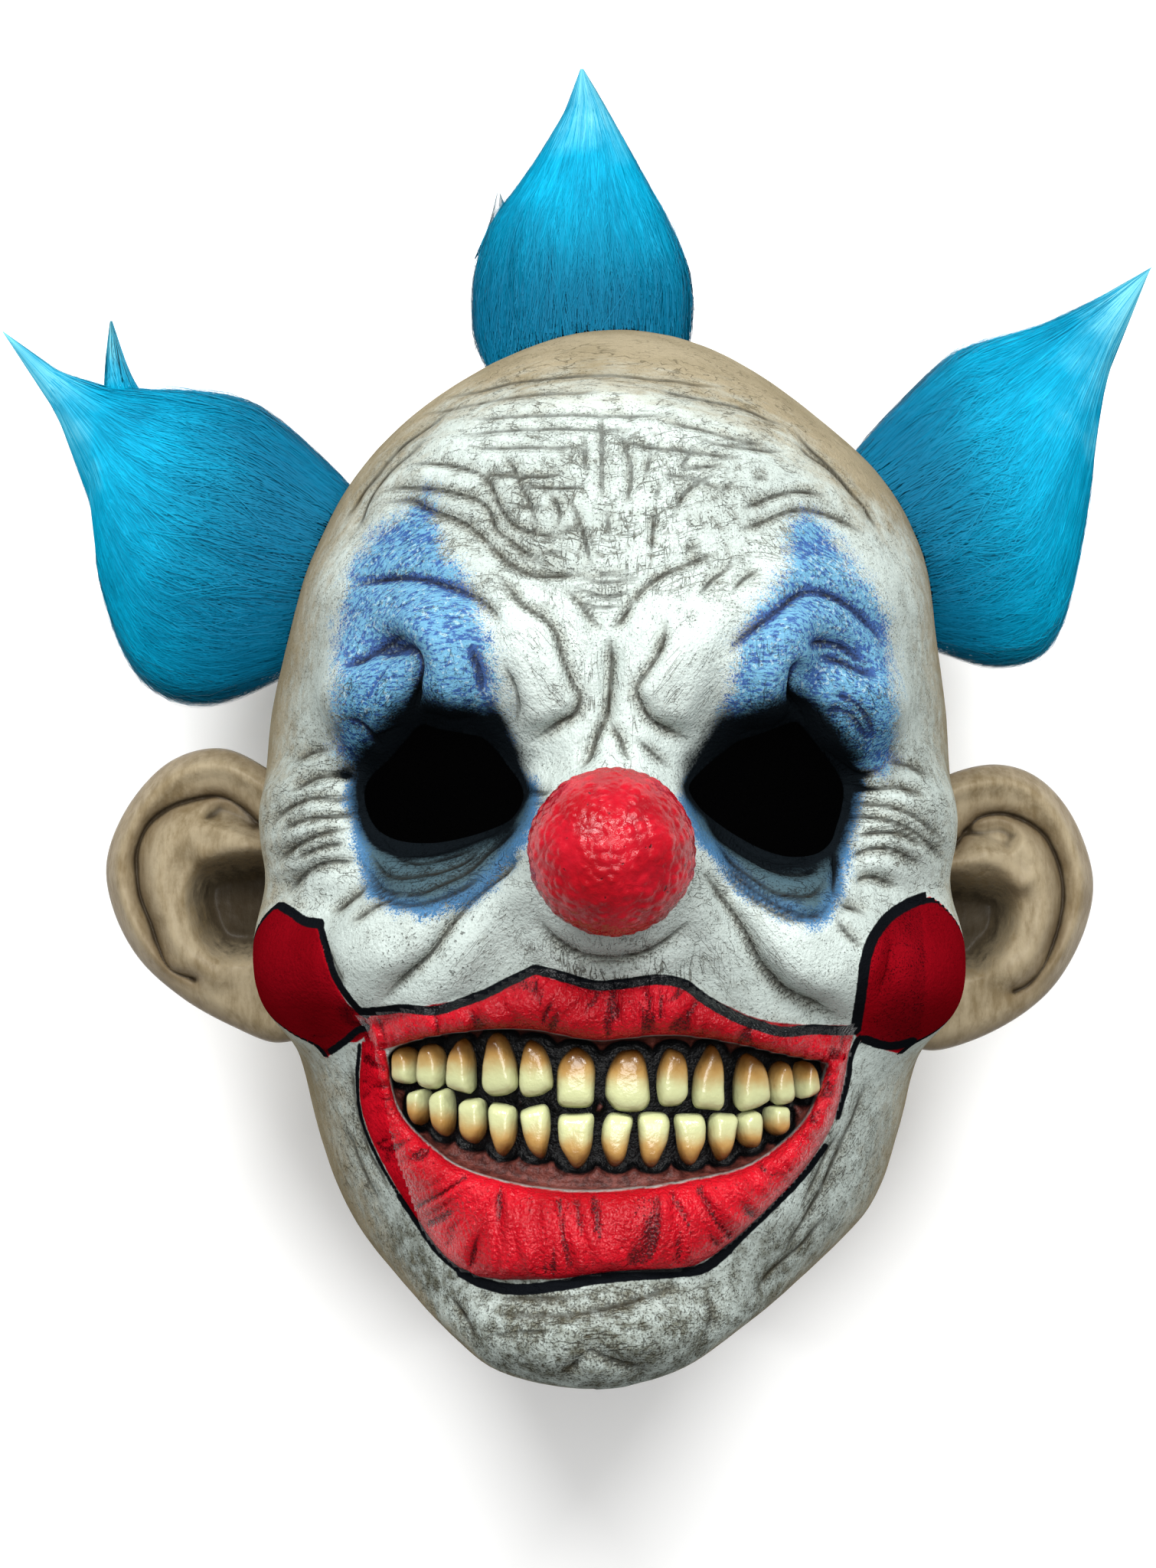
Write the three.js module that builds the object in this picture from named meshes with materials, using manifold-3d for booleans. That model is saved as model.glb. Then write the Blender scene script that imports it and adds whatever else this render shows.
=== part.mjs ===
// Clown mask: an over-the-head mask of cast latex with three tufts of long fur.
//
// It lies on the back of its head with the face up. All lengths are millimetres.
// Origin: centre of the flat spot on the back of the head, on the surface it rests on.
// +X runs to the right of someone who looks at the face, +Y to the crown, +Z out of the face.
// The neck opening is on the -Y side. Places on the face are given as [x, y], seen from the front.

import * as THREE from 'three';
import { mergeVertices } from 'three/addons/utils/BufferGeometryUtils.js';
import Module from 'manifold-3d';

const wasm = await Module();
wasm.setup();

// Driving dimensions
const WALL = 2.6;                // latex wall at its thinnest
const FACE_EXTRA = 1.4;          // the face is this much thicker than the scalp
const GLUE_GAP = 0.6;            // between a tuft and the skin it is glued to
const WIDEST_SHARE = 0.46;       // where a section is widest, from the back to the front
const HEAD_ROWS = 42;            // mesh rows from chin to crown
const HEAD_COLUMNS = 36;         // mesh columns around the head
const CAVITY_ROWS = 22;          // the same for the inside
const CAVITY_COLUMNS = 20;
const CAVITY_FORM_SHARE = 0.7;   // how far the inside follows the outside's mounds
const CAVITY_FORM_LIMIT = 18;    // mounds higher than this are thick latex behind
const FRONT_COLUMN_SHARE = 0.5;  // under 1, columns crowd towards the face
const ROW_CROWDING = 1.2;        // over 1, rows crowd towards the chin and the crown

const NOSE = { x: 0, y: -15.3, z: 251, radius: 19 };
const NOSE_NECK = { radius: 9, length: 45 }; // the way from the head's cavity into the nose ball
const NOSE_SIDES = 16;
const EAR_DEPTH_Z = 98;          // height of the ears' middle above the rest
const TUFT_Z = 98;               // height of the tufts' middle above the rest
const EYE_CUT = { bottomZ: 150, height: 90 };
const CUTTER_SIZE = 400;         // wider than the mask
const CUTTER_DEPTH = 40;

const LATEX_WHITE = 0xdce3dd;
const HAIR_TURQUOISE = 0x00a5cf;

// The head without its features, as sections across Y from the chin's underside to the crown.
// front and back are the section's heights on the middle line, square its squareness (2 is an ellipse).
const HEAD_SECTIONS = [
  { y: -140.5, x: -6, halfWidth: 0, front: 207, back: 207, square: 2.0 },
  { y: -137.5, x: -5.5, halfWidth: 21, front: 218, back: 190, square: 2.0 },
  { y: -128.5, x: -4, halfWidth: 36, front: 224, back: 155, square: 2.1 },
  { y: -117, x: -2, halfWidth: 53, front: 219, back: 80, square: 2.2 },
  { y: -104, x: 0, halfWidth: 66, front: 216, back: 30, square: 2.3 },
  { y: -86, x: 0, halfWidth: 73, front: 217, back: 22, square: 2.3 },
  { y: -64, x: 0, halfWidth: 78, front: 219, back: 12, square: 2.35 },
  { y: -40, x: 0, halfWidth: 82, front: 219, back: 2.5, square: 2.5 },
  { y: -14, x: 0, halfWidth: 85.5, front: 213, back: -1.3, square: 2.5 },
  { y: 12, x: 0, halfWidth: 86, front: 211, back: -1.3, square: 2.5 },
  { y: 36, x: 1, halfWidth: 82, front: 217, back: 1.5, square: 2.4 },
  { y: 58, x: 2.5, halfWidth: 77, front: 211, back: 8, square: 2.3 },
  { y: 77, x: 2.5, halfWidth: 67, front: 200, back: 20, square: 2.2 },
  { y: 93, x: 1.5, halfWidth: 51, front: 182, back: 37, square: 2.1 },
  { y: 105, x: 2, halfWidth: 34, front: 158, back: 59, square: 2.0 },
  { y: 112.5, x: 2.5, halfWidth: 17, front: 131, back: 83, square: 2.0 },
  { y: 115, x: 2.5, halfWidth: 0, front: 107, back: 107, square: 2.0 },
];

// Soft mounds and hollows of the face: centre, half sizes, turn in degrees and height.
const MOUNDS = [
  { at: [-47, 43], half: [26, 12], turn: -8, height: 4 },      // brow, left
  { at: [49, 41], half: [26, 12], turn: 8, height: 4 },        // brow, right
  { at: [-56, 21], half: [11, 12], turn: 20, height: 5 },      // outer lobe of the brow, left
  { at: [57, 17], half: [11, 13], turn: -30, height: 5 },      // outer lobe of the brow, right
  { at: [-38, 26], half: [9, 13], turn: 10, height: 5 },       // inner lobe of the brow, left
  { at: [36, 25], half: [9, 13], turn: -10, height: 5 },       // inner lobe of the brow, right
  { at: [-14, 24], half: [11, 17], turn: 24, height: 6 },      // frown bulge, left
  { at: [12, 24], half: [11, 17], turn: -24, height: 6 },      // frown bulge, right
  { at: [-40, -1], half: [25, 16], turn: -4, height: -7 },     // eye socket, left
  { at: [38, -1], half: [25, 16], turn: 4, height: -7 },       // eye socket, right
  { at: [-43, -37], half: [23, 15], turn: 30, height: 8 },     // cheek, left
  { at: [43, -38], half: [23, 15], turn: -30, height: 8 },     // cheek, right
  { at: [-78, -44], half: [14, 19], turn: 20, height: 12 },    // cheek end, left
  { at: [77, -45], half: [14, 19], turn: -20, height: 12 },    // cheek end, right
  { at: [-74, -10], half: [14, 15], turn: 0, height: 7 },      // temple fold, left
  { at: [73, -10], half: [14, 15], turn: 0, height: 7 },       // temple fold, right
  { at: [0, -19], half: [22, 21], turn: 0, height: 28 },       // base of the nose
  { at: [0, 4], half: [9, 14], turn: 0, height: 5 },           // bridge of the nose
  { at: [-4, -128], half: [21, 11], turn: 0, height: 4 },      // chin
];

// The lips, between an outer and an inner edge that start at the left corner of the mouth.
const UPPER_LIP = {
  outer: [
    [-60, -55], [-42, -51.5], [-30, -49], [-17, -42.5], [-6, -46],
    [4, -45.5], [14, -44.5], [26, -51], [38, -55.5], [58, -57],
  ],
  inner: [
    [-57, -64], [-45, -60], [-33, -57.7], [-19, -57], [-4, -59.6],
    [4, -58.9], [15, -58.3], [27, -60], [41, -63.5], [56, -67],
  ],
  proud: 7,
};
const LOWER_LIP = {
  outer: [
    [-59, -61], [-59, -79], [-48, -100], [-35, -114], [-15, -115],
    [3, -113], [20, -112], [38, -99], [52, -82], [57, -63],
  ],
  inner: [
    [-53, -63], [-50, -77], [-40, -87], [-30, -91.5], [-14, -94.5],
    [3, -94.5], [18, -92.5], [33, -89], [46, -79], [52, -65],
  ],
  proud: 8,
};
const LIP_SUNK = 7;              // how far a lip's section reaches under the face's surface
const LIP_END = 0.3;             // of its full height that a lip still has in the mouth's corner
const LIP_FULLNESS = 0.4;        // under 1, a lip keeps its height further towards the corners
const LIP_SIDES = 8;
const POINTS_PER_SPAN = 2;       // of a smooth line, between two stated points

// The hollow of the mouth with the gums as its floor.
const MOUTH = {
  middle: [-2, -75],
  outline: [
    [-53, -65], [-45, -59], [-33, -56.5], [-20, -56], [-4, -58.5], [12, -57.5], [27, -59], [43, -63],
    [53, -66], [46, -80], [32, -90], [18, -93.5], [-4, -96.5], [-26, -93], [-41, -87], [-50, -77],
  ],
  depth: 9,
  clearance: 30,                 // the cutter's height above the face
  backedFrom: -16,               // the latex behind the mouth's floor starts to thicken this far outside
  backedTo: -5,                  // and is at its full depth here
};

// Creases (depth under zero) and folds of skin along a line, with the half width of the stroke.
const STROKES = [
  // over the brows
  { line: [[-66, 42], [-51, 49], [-36, 47], [-25, 40]], half: 4, depth: -2.2 },
  { line: [[31, 34], [44, 44], [53, 46], [61, 42], [67, 33]], half: 4, depth: -2.2 },
  // around the brows' lobes
  { line: [[-65, 29], [-58, 33], [-48, 35], [-46, 24], [-45, 16]], half: 4, depth: -2.2 },
  { line: [[64, 26], [54, 31], [46, 31], [45, 24], [44, 15]], half: 4, depth: -2.2 },
  // folds of the forehead
  { line: [[-70, 58], [-52, 64], [-34, 58], [-18, 46], [-3, 38]], half: 4.5, depth: 2.5 },
  { line: [[66, 56], [50, 62], [34, 57], [16, 47], [-1, 38]], half: 4.5, depth: 2.5 },
  { line: [[-62, 70], [-44, 71], [-26, 62], [-8, 50]], half: 4, depth: 2 },
  { line: [[60, 70], [44, 71], [26, 62], [6, 50]], half: 4, depth: 2 },
  { line: [[-45, 80], [0, 83], [45, 80]], half: 4, depth: 1.5 },
  { line: [[-38, 92], [0, 95], [40, 91]], half: 4, depth: 1.5 },
  // the frown line and its two branches
  { line: [[-2, 38], [-2.5, 26], [-1.5, 16], [-3, 8]], half: 4, depth: -2.4 },
  { line: [[-3, 38], [-14, 42], [-26, 48]], half: 4, depth: -2 },
  { line: [[-1, 38], [10, 44], [24, 50]], half: 4, depth: -2 },
  // from the nose to the corners of the mouth
  { line: [[-19, -17], [-32, -29], [-45, -43], [-55, -50]], half: 4.5, depth: -2.4 },
  { line: [[19, -18], [27, -30], [36, -43], [46, -51]], half: 4.5, depth: -2.4 },
  // bags under the eyes
  { line: [[-61, -10], [-53, -20], [-40, -23], [-27, -16]], half: 4, depth: 3 },
  { line: [[59, -14], [50, -24], [38, -23], [25, -14]], half: 4, depth: 3 },
  // under the lower lip, and the cleft of the chin
  { line: [[-31, -118], [-12, -120], [12, -119], [27, -115]], half: 4, depth: -2 },
  { line: [[-3, -122], [-2, -128], [-4, -134]], half: 4, depth: -2 },
];
// Folds of skin beside each eye, one under the other.
const TEMPLE_FOLDS = {
  count: 3,
  pitch: 9,
  topY: 0,
  innerX: 61,
  outerX: 84,
  arch: 2,
  droop: -5,
  half: 3.2,
  height: 2.5,
};
// Features are at full height where the surface faces forward, and gone where it faces sideways.
const FACE_START = -0.1;
const FACE_FULL = 0.35;

const EYE_HOLES = [
  [
    [-59, -2.5], [-52, 7], [-44, 14.5], [-32, 12.5], [-27, 9],
    [-20, 0], [-22, -8], [-33, -13], [-44, -14.5], [-54, -13],
  ],
  [
    [18.5, -1], [24.5, 6.5], [34.5, 11], [44.5, 15], [51, 6.5], [56.5, 0],
    [54, -10.5], [51, -16.5], [44.5, -17], [37.5, -16], [27.5, -9.5],
  ],
];

// Teeth: middle x, width, top y and bottom y of each, from left to right.
const UPPER_TEETH = [
  [-48.1, 6.0, -62.0, -70.6], [-41.9, 6.9, -61.0, -71.3], [-34.8, 6.6, -60.1, -72.2],
  [-25.9, 8.2, -58.5, -72.7], [-17.6, 8.0, -60.1, -72.5], [-8.0, 9.4, -61.5, -75.0],
  [4.1, 10.5, -61.9, -75.7], [14.4, 7.6, -61.7, -74.5], [23.0, 7.5, -61.5, -76.1],
  [32.8, 8.5, -63.5, -76.1], [39.9, 5.7, -65.2, -75.2], [45.9, 4.8, -65.6, -74.1],
];
const LOWER_TEETH = [
  [-44.9, 4.3, -72.2, -80.3], [-39.2, 5.3, -72.2, -82.8], [-32.1, 6.6, -74.1, -84.4],
  [-25.0, 6.4, -74.8, -86.6], [-17.2, 6.9, -75.2, -87.1], [-8.0, 8.5, -76.8, -89.1],
  [1.3, 6.9, -77.0, -89.1], [9.8, 7.3, -76.6, -89.1], [18.5, 7.3, -77.0, -88.7],
  [26.0, 6.4, -77.0, -87.8], [32.4, 6.0, -77.0, -85.5], [39.0, 5.5, -75.9, -82.8],
];
const TOOTH_SUNK = 6;            // a tooth's middle lies this far under the face's surface
const TOOTH_HALF_DEPTH = 4;
const TOOTH_SIDES = 6;
const TOOTH_SQUARENESS = 0.6;    // 1 is an oval, less is squarer
const TOOTH_TAPER = 0.22;        // how much a tooth narrows towards its root
const TOOTH_EDGE = 3;            // over 2, a tooth's front is flatter and its edge rounder

// Ears and tufts, as outlines around a middle point. Their inner parts lie in the head.
const EAR_LEFT = {
  middle: [-98, -27],
  outline: [
    [-84, 2], [-98, 9], [-112, 6], [-123, -5], [-129, -19], [-127.5, -32], [-120.5, -45], [-109, -55],
    [-96, -62], [-84, -66], [-75, -61], [-71, -42], [-71, -22], [-75, -6],
  ],
  outward: -1,
};
const EAR_RIGHT = {
  middle: [95, -30],
  outline: [
    [84, 1], [98, 5], [110, 2], [119.5, -8], [125, -23], [123.5, -36], [117, -49], [108, -58],
    [95, -65], [82, -68], [75, -63], [71, -44], [71, -22], [75, -7],
  ],
  outward: 1,
};
const EAR = {
  halfThickness: 6,
  edgeRoundness: 4,              // over 2, the ear keeps its thickness closer to the edge
  lean: 0.3,                     // the outer edge lies back by this share of the ear's width
  rim: 5,
  rimAt: 0.84,
  rimWidth: 0.13,
  bowl: 11,
  bowlReach: 0.58,
  bowlBehind: 0.6,               // of the bowl's depth that bulges out of the back
};

// Tufts of hair: the two edges from the root to the tip, and thin stray points with edges of their own.
const TUFTS = [
  {
    name: 'hair_tuft_top',
    edges: [
      [[-26, 98], [-34, 112], [-34.5, 129], [-30, 143], [-23, 153], [-15.5, 164], [-10, 174], [-7, 183]],
      [[12, 98], [20.5, 110], [21.5, 128], [16, 143], [10.5, 153], [4.5, 164], [-1, 174], [-6.2, 183]],
    ],
    strays: [[[[-34.3, 134], [-30.5, 143], [-28.3, 151.4]], [[-25, 146], [-26, 147.5], [-27.6, 151.4]]]],
  },
  {
    name: 'hair_tuft_left',
    edges: [
      [[-60, 70], [-71, 82], [-89, 97], [-105, 100.5], [-120, 101], [-132, 102], [-143, 107], [-155, 116]],
      [[-64, 38], [-83, 27], [-103, 20], [-120, 27.5], [-130, 52], [-132, 77], [-143, 98], [-154.4, 115]],
    ],
    strays: [[[[-129, 100], [-128.5, 109], [-127.4, 118.5]], [[-118, 98], [-122.5, 106], [-126.8, 118.5]]]],
  },
  {
    name: 'hair_tuft_right',
    edges: [
      [[56, 76], [66, 89], [84, 107], [94, 112.5], [110, 117], [126, 124.5], [139.4, 132.4]],
      [[60, 44], [84, 34], [101, 30], [115, 38], [123, 72], [126, 100], [138.8, 131.6]],
    ],
    strays: [[[[122, 104], [127.5, 113], [133.4, 121.5]], [[125, 98], [129, 110.5], [134, 121]]]],
  },
];
const TUFT_THICKNESS = 0.68;     // of its width
const TUFT_SIDES = 12;
const TUFT_LOCKS = { count: 6, height: 0.07 }; // locks around a section, with furrows between them

// The neck opening: everything inside this line, given as [z, y] seen from the side, is cut away.
const NECK_RIM = [[-20, -106], [150, -112], [180, -123], [190, -128], [190, -160], [-20, -160]];

// Shapes

// A smooth line through the points, as evenly many points between each two.
function smoothLine(points, closed, steps) {
  const vectors = points.map(([x, y]) => new THREE.Vector3(x, y, 0));
  const curve = new THREE.CatmullRomCurve3(vectors, closed, 'centripetal');
  const count = steps * (closed ? points.length : points.length - 1);
  const line = curve.getPoints(count);
  return closed ? line.slice(0, -1) : line;
}

function distanceToLine(line, closed, x, y) {
  let best = Infinity;
  const last = closed ? line.length : line.length - 1;
  for (let i = 0; i < last; i++) {
    const a = line[i];
    const b = line[(i + 1) % line.length];
    const dx = b.x - a.x;
    const dy = b.y - a.y;
    const share = ((x - a.x) * dx + (y - a.y) * dy) / (dx * dx + dy * dy);
    const t = Math.min(1, Math.max(0, share));
    best = Math.min(best, Math.hypot(x - a.x - t * dx, y - a.y - t * dy));
  }
  return best;
}

function isInside(line, x, y) {
  let inside = false;
  for (let i = 0, j = line.length - 1; i < line.length; j = i++) {
    const a = line[i];
    const b = line[j];
    const crosses = (a.y > y) !== (b.y > y);
    if (crosses && x < ((b.x - a.x) * (y - a.y)) / (b.y - a.y) + a.x) inside = !inside;
  }
  return inside;
}

function moundHeight(mound, x, y) {
  const turn = THREE.MathUtils.degToRad(mound.turn);
  const dx = x - mound.at[0];
  const dy = y - mound.at[1];
  const along = (dx * Math.cos(turn) + dy * Math.sin(turn)) / mound.half[0];
  const across = (dy * Math.cos(turn) - dx * Math.sin(turn)) / mound.half[1];
  return mound.height * Math.exp(-((along * along + across * across) ** 1.5));
}

function strokeHeight(stroke, x, y) {
  const distance = distanceToLine(stroke.points, false, x, y) / stroke.half;
  return stroke.depth * Math.exp(-distance * distance);
}

// A value of the head's sections between section number t and its neighbours. The rows before the
// first and after the last are the mirrored neighbours, which rounds both ends.
function sectionValue(key, t) {
  const last = HEAD_SECTIONS.length - 1;
  const mirrored = { halfWidth: 'halfWidth', front: 'back', back: 'front' };
  const at = (index) => {
    if (index >= 0 && index <= last) return HEAD_SECTIONS[index][key];
    const twin = HEAD_SECTIONS[index < 0 ? -index : 2 * last - index];
    return (key === 'halfWidth' ? -1 : 1) * twin[mirrored[key] ?? key];
  };
  const i = Math.min(last - 1, Math.floor(t));
  const u = t - i;
  const [a, b, c, d] = [at(i - 1), at(i), at(i + 1), at(i + 2)];
  return b + 0.5 * u * (c - a + u * (2 * a - 5 * b + 4 * c - d + u * (3 * (b - c) + d - a)));
}

function headPoint(t, angle) {
  const power = 2 / sectionValue('square', t);
  const front = sectionValue('front', t);
  const back = sectionValue('back', t);
  const widestZ = back + WIDEST_SHARE * (front - back);
  const sine = Math.sin(angle);
  const cosine = Math.cos(angle);
  const depth = cosine > 0 ? front - widestZ : widestZ - back;
  return new THREE.Vector3(
    sectionValue('x', t) + sectionValue('halfWidth', t) * Math.sign(sine) * Math.abs(sine) ** power,
    sectionValue('y', t),
    widestZ + depth * Math.sign(cosine) * Math.abs(cosine) ** power,
  );
}

// The section number, whole or between two, at height y, found by halving.
function sectionNumber(y) {
  const halvings = 30;
  let low = 0;
  let high = HEAD_SECTIONS.length - 1;
  for (let i = 0; i < halvings; i++) {
    const middle = (low + high) / 2;
    if (sectionValue('y', middle) < y) low = middle;
    else high = middle;
  }
  return low;
}

// Height of the featureless face at x, y.
function faceZ(x, y) {
  const t = sectionNumber(y);
  const across = Math.abs((x - sectionValue('x', t)) / sectionValue('halfWidth', t));
  const square = sectionValue('square', t);
  const front = sectionValue('front', t);
  const widestZ = sectionValue('back', t) * (1 - WIDEST_SHARE) + WIDEST_SHARE * front;
  return widestZ + (front - widestZ) * Math.max(0, 1 - across ** square) ** (1 / square);
}

// Head surface as rows of points from chin to crown, between two end points.
function headRows(rowCount, columnCount) {
  const last = HEAD_SECTIONS.length - 1;
  const bottom = HEAD_SECTIONS[0].y;
  const top = HEAD_SECTIONS[last].y;
  const rows = [];
  for (let i = 1; i < rowCount; i++) {
    const row = [];
    const fromMiddle = (2 * i) / rowCount - 1;
    const rise = Math.sign(fromMiddle) * (1 - (1 - Math.abs(fromMiddle)) ** ROW_CROWDING);
    const t = sectionNumber(bottom + ((top - bottom) * (1 + rise)) / 2);
    for (let j = 0; j < columnCount; j++) {
      const u = (2 * j) / columnCount - 1;
      const angle = Math.PI * (FRONT_COLUMN_SHARE * u + (1 - FRONT_COLUMN_SHARE) * u ** 3);
      row.push(headPoint(t, angle));
    }
    rows.push(row);
  }
  return { rows, chin: headPoint(0, 0), crown: headPoint(last, 0) };
}

// Moves each point of the rows along the surface's outward direction.
function pushOut(surface, distanceAt) {
  const { rows, chin, crown } = surface;
  const columns = rows[0].length;
  const moved = rows.map((row, i) => row.map((point, j) => {
    const below = i > 0 ? rows[i - 1][j] : chin;
    const above = i < rows.length - 1 ? rows[i + 1][j] : crown;
    const left = row[(j + columns - 1) % columns];
    const right = row[(j + 1) % columns];
    const outward = right.clone().sub(left).cross(above.clone().sub(below)).normalize();
    return point.clone().addScaledVector(outward, distanceAt(point, outward));
  }));
  const up = new THREE.Vector3(0, 1, 0);
  return {
    rows: moved,
    chin: chin.clone().addScaledVector(up, -distanceAt(chin, up)),
    crown: crown.clone().addScaledVector(up, distanceAt(crown, up)),
  };
}

function geometryFrom(positions, triangles) {
  const geometry = new THREE.BufferGeometry();
  geometry.setAttribute('position', new THREE.Float32BufferAttribute(positions, 3));
  geometry.setIndex(triangles);
  return geometry;
}

function closedSurface({ rows, chin, crown }) {
  const columns = rows[0].length;
  const points = [chin, ...rows.flat(), crown];
  const crownIndex = points.length - 1;
  const triangles = [];
  for (let j = 0; j < columns; j++) {
    const next = (j + 1) % columns;
    triangles.push(0, 1 + next, 1 + j);
    for (let i = 0; i < rows.length - 1; i++) {
      const a = 1 + i * columns + j;
      const b = 1 + i * columns + next;
      const [c, d] = [b + columns, a + columns];
      const splitsAtA = points[a].distanceTo(points[c]) < points[b].distanceTo(points[d]);
      triangles.push(...(splitsAtA ? [a, b, c, a, c, d] : [a, b, d, b, c, d]));
    }
    const top = 1 + (rows.length - 1) * columns;
    triangles.push(top + j, top + next, crownIndex);
  }
  return geometryFrom(points.flatMap((point) => point.toArray()), triangles);
}

// A closed form over an outline around a middle point, between two heights. heights(r, x, y) gives
// [front, back]; r runs from 0 in the middle to 1 on the outline. With a wall the two may differ there.
function formOver(middle, outline, rings, heights, walled = false) {
  const positions = [];
  const triangles = [];
  const count = outline.length;
  const addRing = (r, side) => {
    for (const point of outline) {
      const x = middle[0] + r * (point.x - middle[0]);
      const y = middle[1] + r * (point.y - middle[1]);
      positions.push(x, y, heights(r, x, y)[side]);
    }
  };
  const addBand = (outer, inner, flipped) => {
    for (let j = 0; j < count; j++) {
      const next = (j + 1) % count;
      const quad = [[outer + j, outer + next, inner + next], [outer + j, inner + next, inner + j]];
      for (const [a, b, c] of quad) triangles.push(...(flipped ? [a, c, b] : [a, b, c]));
    }
  };
  addRing(1, 0);
  if (walled) {
    addRing(1, 1);
    addBand(0, count, true);
  }
  for (const side of [0, 1]) {
    let outer = side === 1 && walled ? count : 0;
    for (let ring = rings - 1; ring > 0; ring--) {
      const inner = positions.length / 3;
      addRing(ring / rings, side);
      addBand(outer, inner, side === 1);
      outer = inner;
    }
    positions.push(middle[0], middle[1], heights(0, middle[0], middle[1])[side]);
    const centre = positions.length / 3 - 1;
    for (let j = 0; j < count; j++) {
      const next = (j + 1) % count;
      const [b, c] = side === 1 ? [outer + next, outer + j] : [outer + j, outer + next];
      triangles.push(b, c, centre);
    }
  }
  return geometryFrom(positions, triangles);
}

// A form along two edges of equal count, with oval sections that reach from edge to edge.
// heightAt(x, y, angle, width, along) gives the section's heights; along runs from 0 to 1.
function formBetween(outer, inner, sides, heightAt) {
  const positions = [];
  const triangles = [];
  outer.forEach((start, i) => {
    const end = inner[i];
    const width = start.distanceTo(end);
    for (let k = 0; k < sides; k++) {
      const angle = (2 * Math.PI * k) / sides;
      const share = 0.5 - 0.5 * Math.cos(angle);
      const x = start.x + share * (end.x - start.x);
      const y = start.y + share * (end.y - start.y);
      positions.push(x, y, heightAt(x, y, angle, width, i / (outer.length - 1)));
    }
  });
  for (let i = 0; i < outer.length - 1; i++) {
    for (let k = 0; k < sides; k++) {
      const a = i * sides + k;
      const b = i * sides + ((k + 1) % sides);
      triangles.push(a, a + sides, b + sides, a, b + sides, b);
    }
  }
  const last = (outer.length - 1) * sides;
  for (let k = 1; k < sides - 1; k++) triangles.push(0, k, k + 1, last, last + k + 1, last + k);
  return geometryFrom(positions, triangles);
}

// Solids

function toSolid(geometry) {
  const bare = geometry.clone();
  bare.deleteAttribute('normal');
  bare.deleteAttribute('uv');
  const merged = mergeVertices(bare, 1e-4);
  const mesh = new wasm.Mesh({
    numProp: 3,
    vertProperties: new Float32Array(merged.attributes.position.array),
    triVerts: new Uint32Array(merged.index.array),
  });
  const solid = new wasm.Manifold(mesh);
  return solid.volume() < 0 ? solidTurnedOut(merged) : solid;
}

function solidTurnedOut(merged) {
  const turned = Uint32Array.from(merged.index.array);
  for (let i = 1; i < turned.length; i += 3) {
    [turned[i], turned[i + 1]] = [turned[i + 1], turned[i]];
  }
  const vertProperties = new Float32Array(merged.attributes.position.array);
  return new wasm.Manifold(new wasm.Mesh({ numProp: 3, vertProperties, triVerts: turned }));
}

function toGeometry(solid) {
  const mesh = solid.getMesh();
  const geometry = geometryFrom(Array.from(mesh.vertProperties), Array.from(mesh.triVerts));
  geometry.computeVertexNormals();
  return geometry;
}

function extruded(points, depth, place) {
  const shape = new THREE.Shape(points.map(([x, y]) => new THREE.Vector2(x, y)));
  const geometry = new THREE.ExtrudeGeometry(shape, { depth, bevelEnabled: false });
  place(geometry);
  return toSolid(geometry);
}

// Mask shell

function templeFold(side, number) {
  const { pitch, topY, innerX, outerX, arch, droop, half, height } = TEMPLE_FOLDS;
  const y = topY - number * pitch;
  const line = [[side * innerX, y], [side * (innerX + outerX) / 2, y + arch], [side * outerX, y + droop]];
  return { line, half, depth: height };
}

const foldNumbers = Array.from({ length: TEMPLE_FOLDS.count }, (_, i) => i);
const templeFolds = foldNumbers.flatMap((number) => [templeFold(-1, number), templeFold(1, number)]);
const strokes = [...STROKES, ...templeFolds].map((stroke) => (
  { ...stroke, points: smoothLine(stroke.line, false, POINTS_PER_SPAN) }
));
const mouthLine = smoothLine(MOUTH.outline, true, POINTS_PER_SPAN);

// Features belong to the face, so they fade out towards the side and the back.
function faceShare(outward) {
  return THREE.MathUtils.smoothstep(outward.z, FACE_START, FACE_FULL);
}

function formHeight(point, outward) {
  const height = MOUNDS.reduce((sum, mound) => sum + moundHeight(mound, point.x, point.y), 0);
  return height * faceShare(outward);
}

function carvingHeight(point, outward) {
  const height = strokes.reduce((sum, stroke) => sum + strokeHeight(stroke, point.x, point.y), 0);
  return height * faceShare(outward);
}

// The cavity keeps a wall's distance from the face, also behind the floor of the mouth.
function cavityDepth(point, outward) {
  const side = isInside(mouthLine, point.x, point.y) ? 1 : -1;
  const distance = side * distanceToLine(mouthLine, true, point.x, point.y);
  const backing = MOUTH.depth * THREE.MathUtils.smoothstep(distance, MOUTH.backedFrom, MOUTH.backedTo);
  return -WALL - (FACE_EXTRA + backing) * faceShare(outward);
}

function headSurface() {
  return pushOut(pushOut(headRows(HEAD_ROWS, HEAD_COLUMNS), formHeight), carvingHeight);
}

function cavityFormHeight(point, outward) {
  const height = formHeight(point, outward);
  return height > 0 ? CAVITY_FORM_SHARE * Math.min(height, CAVITY_FORM_LIMIT) : height;
}

function headCavity() {
  const formed = pushOut(headRows(CAVITY_ROWS, CAVITY_COLUMNS), cavityFormHeight);
  return toSolid(closedSurface(pushOut(formed, cavityDepth)));
}

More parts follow.
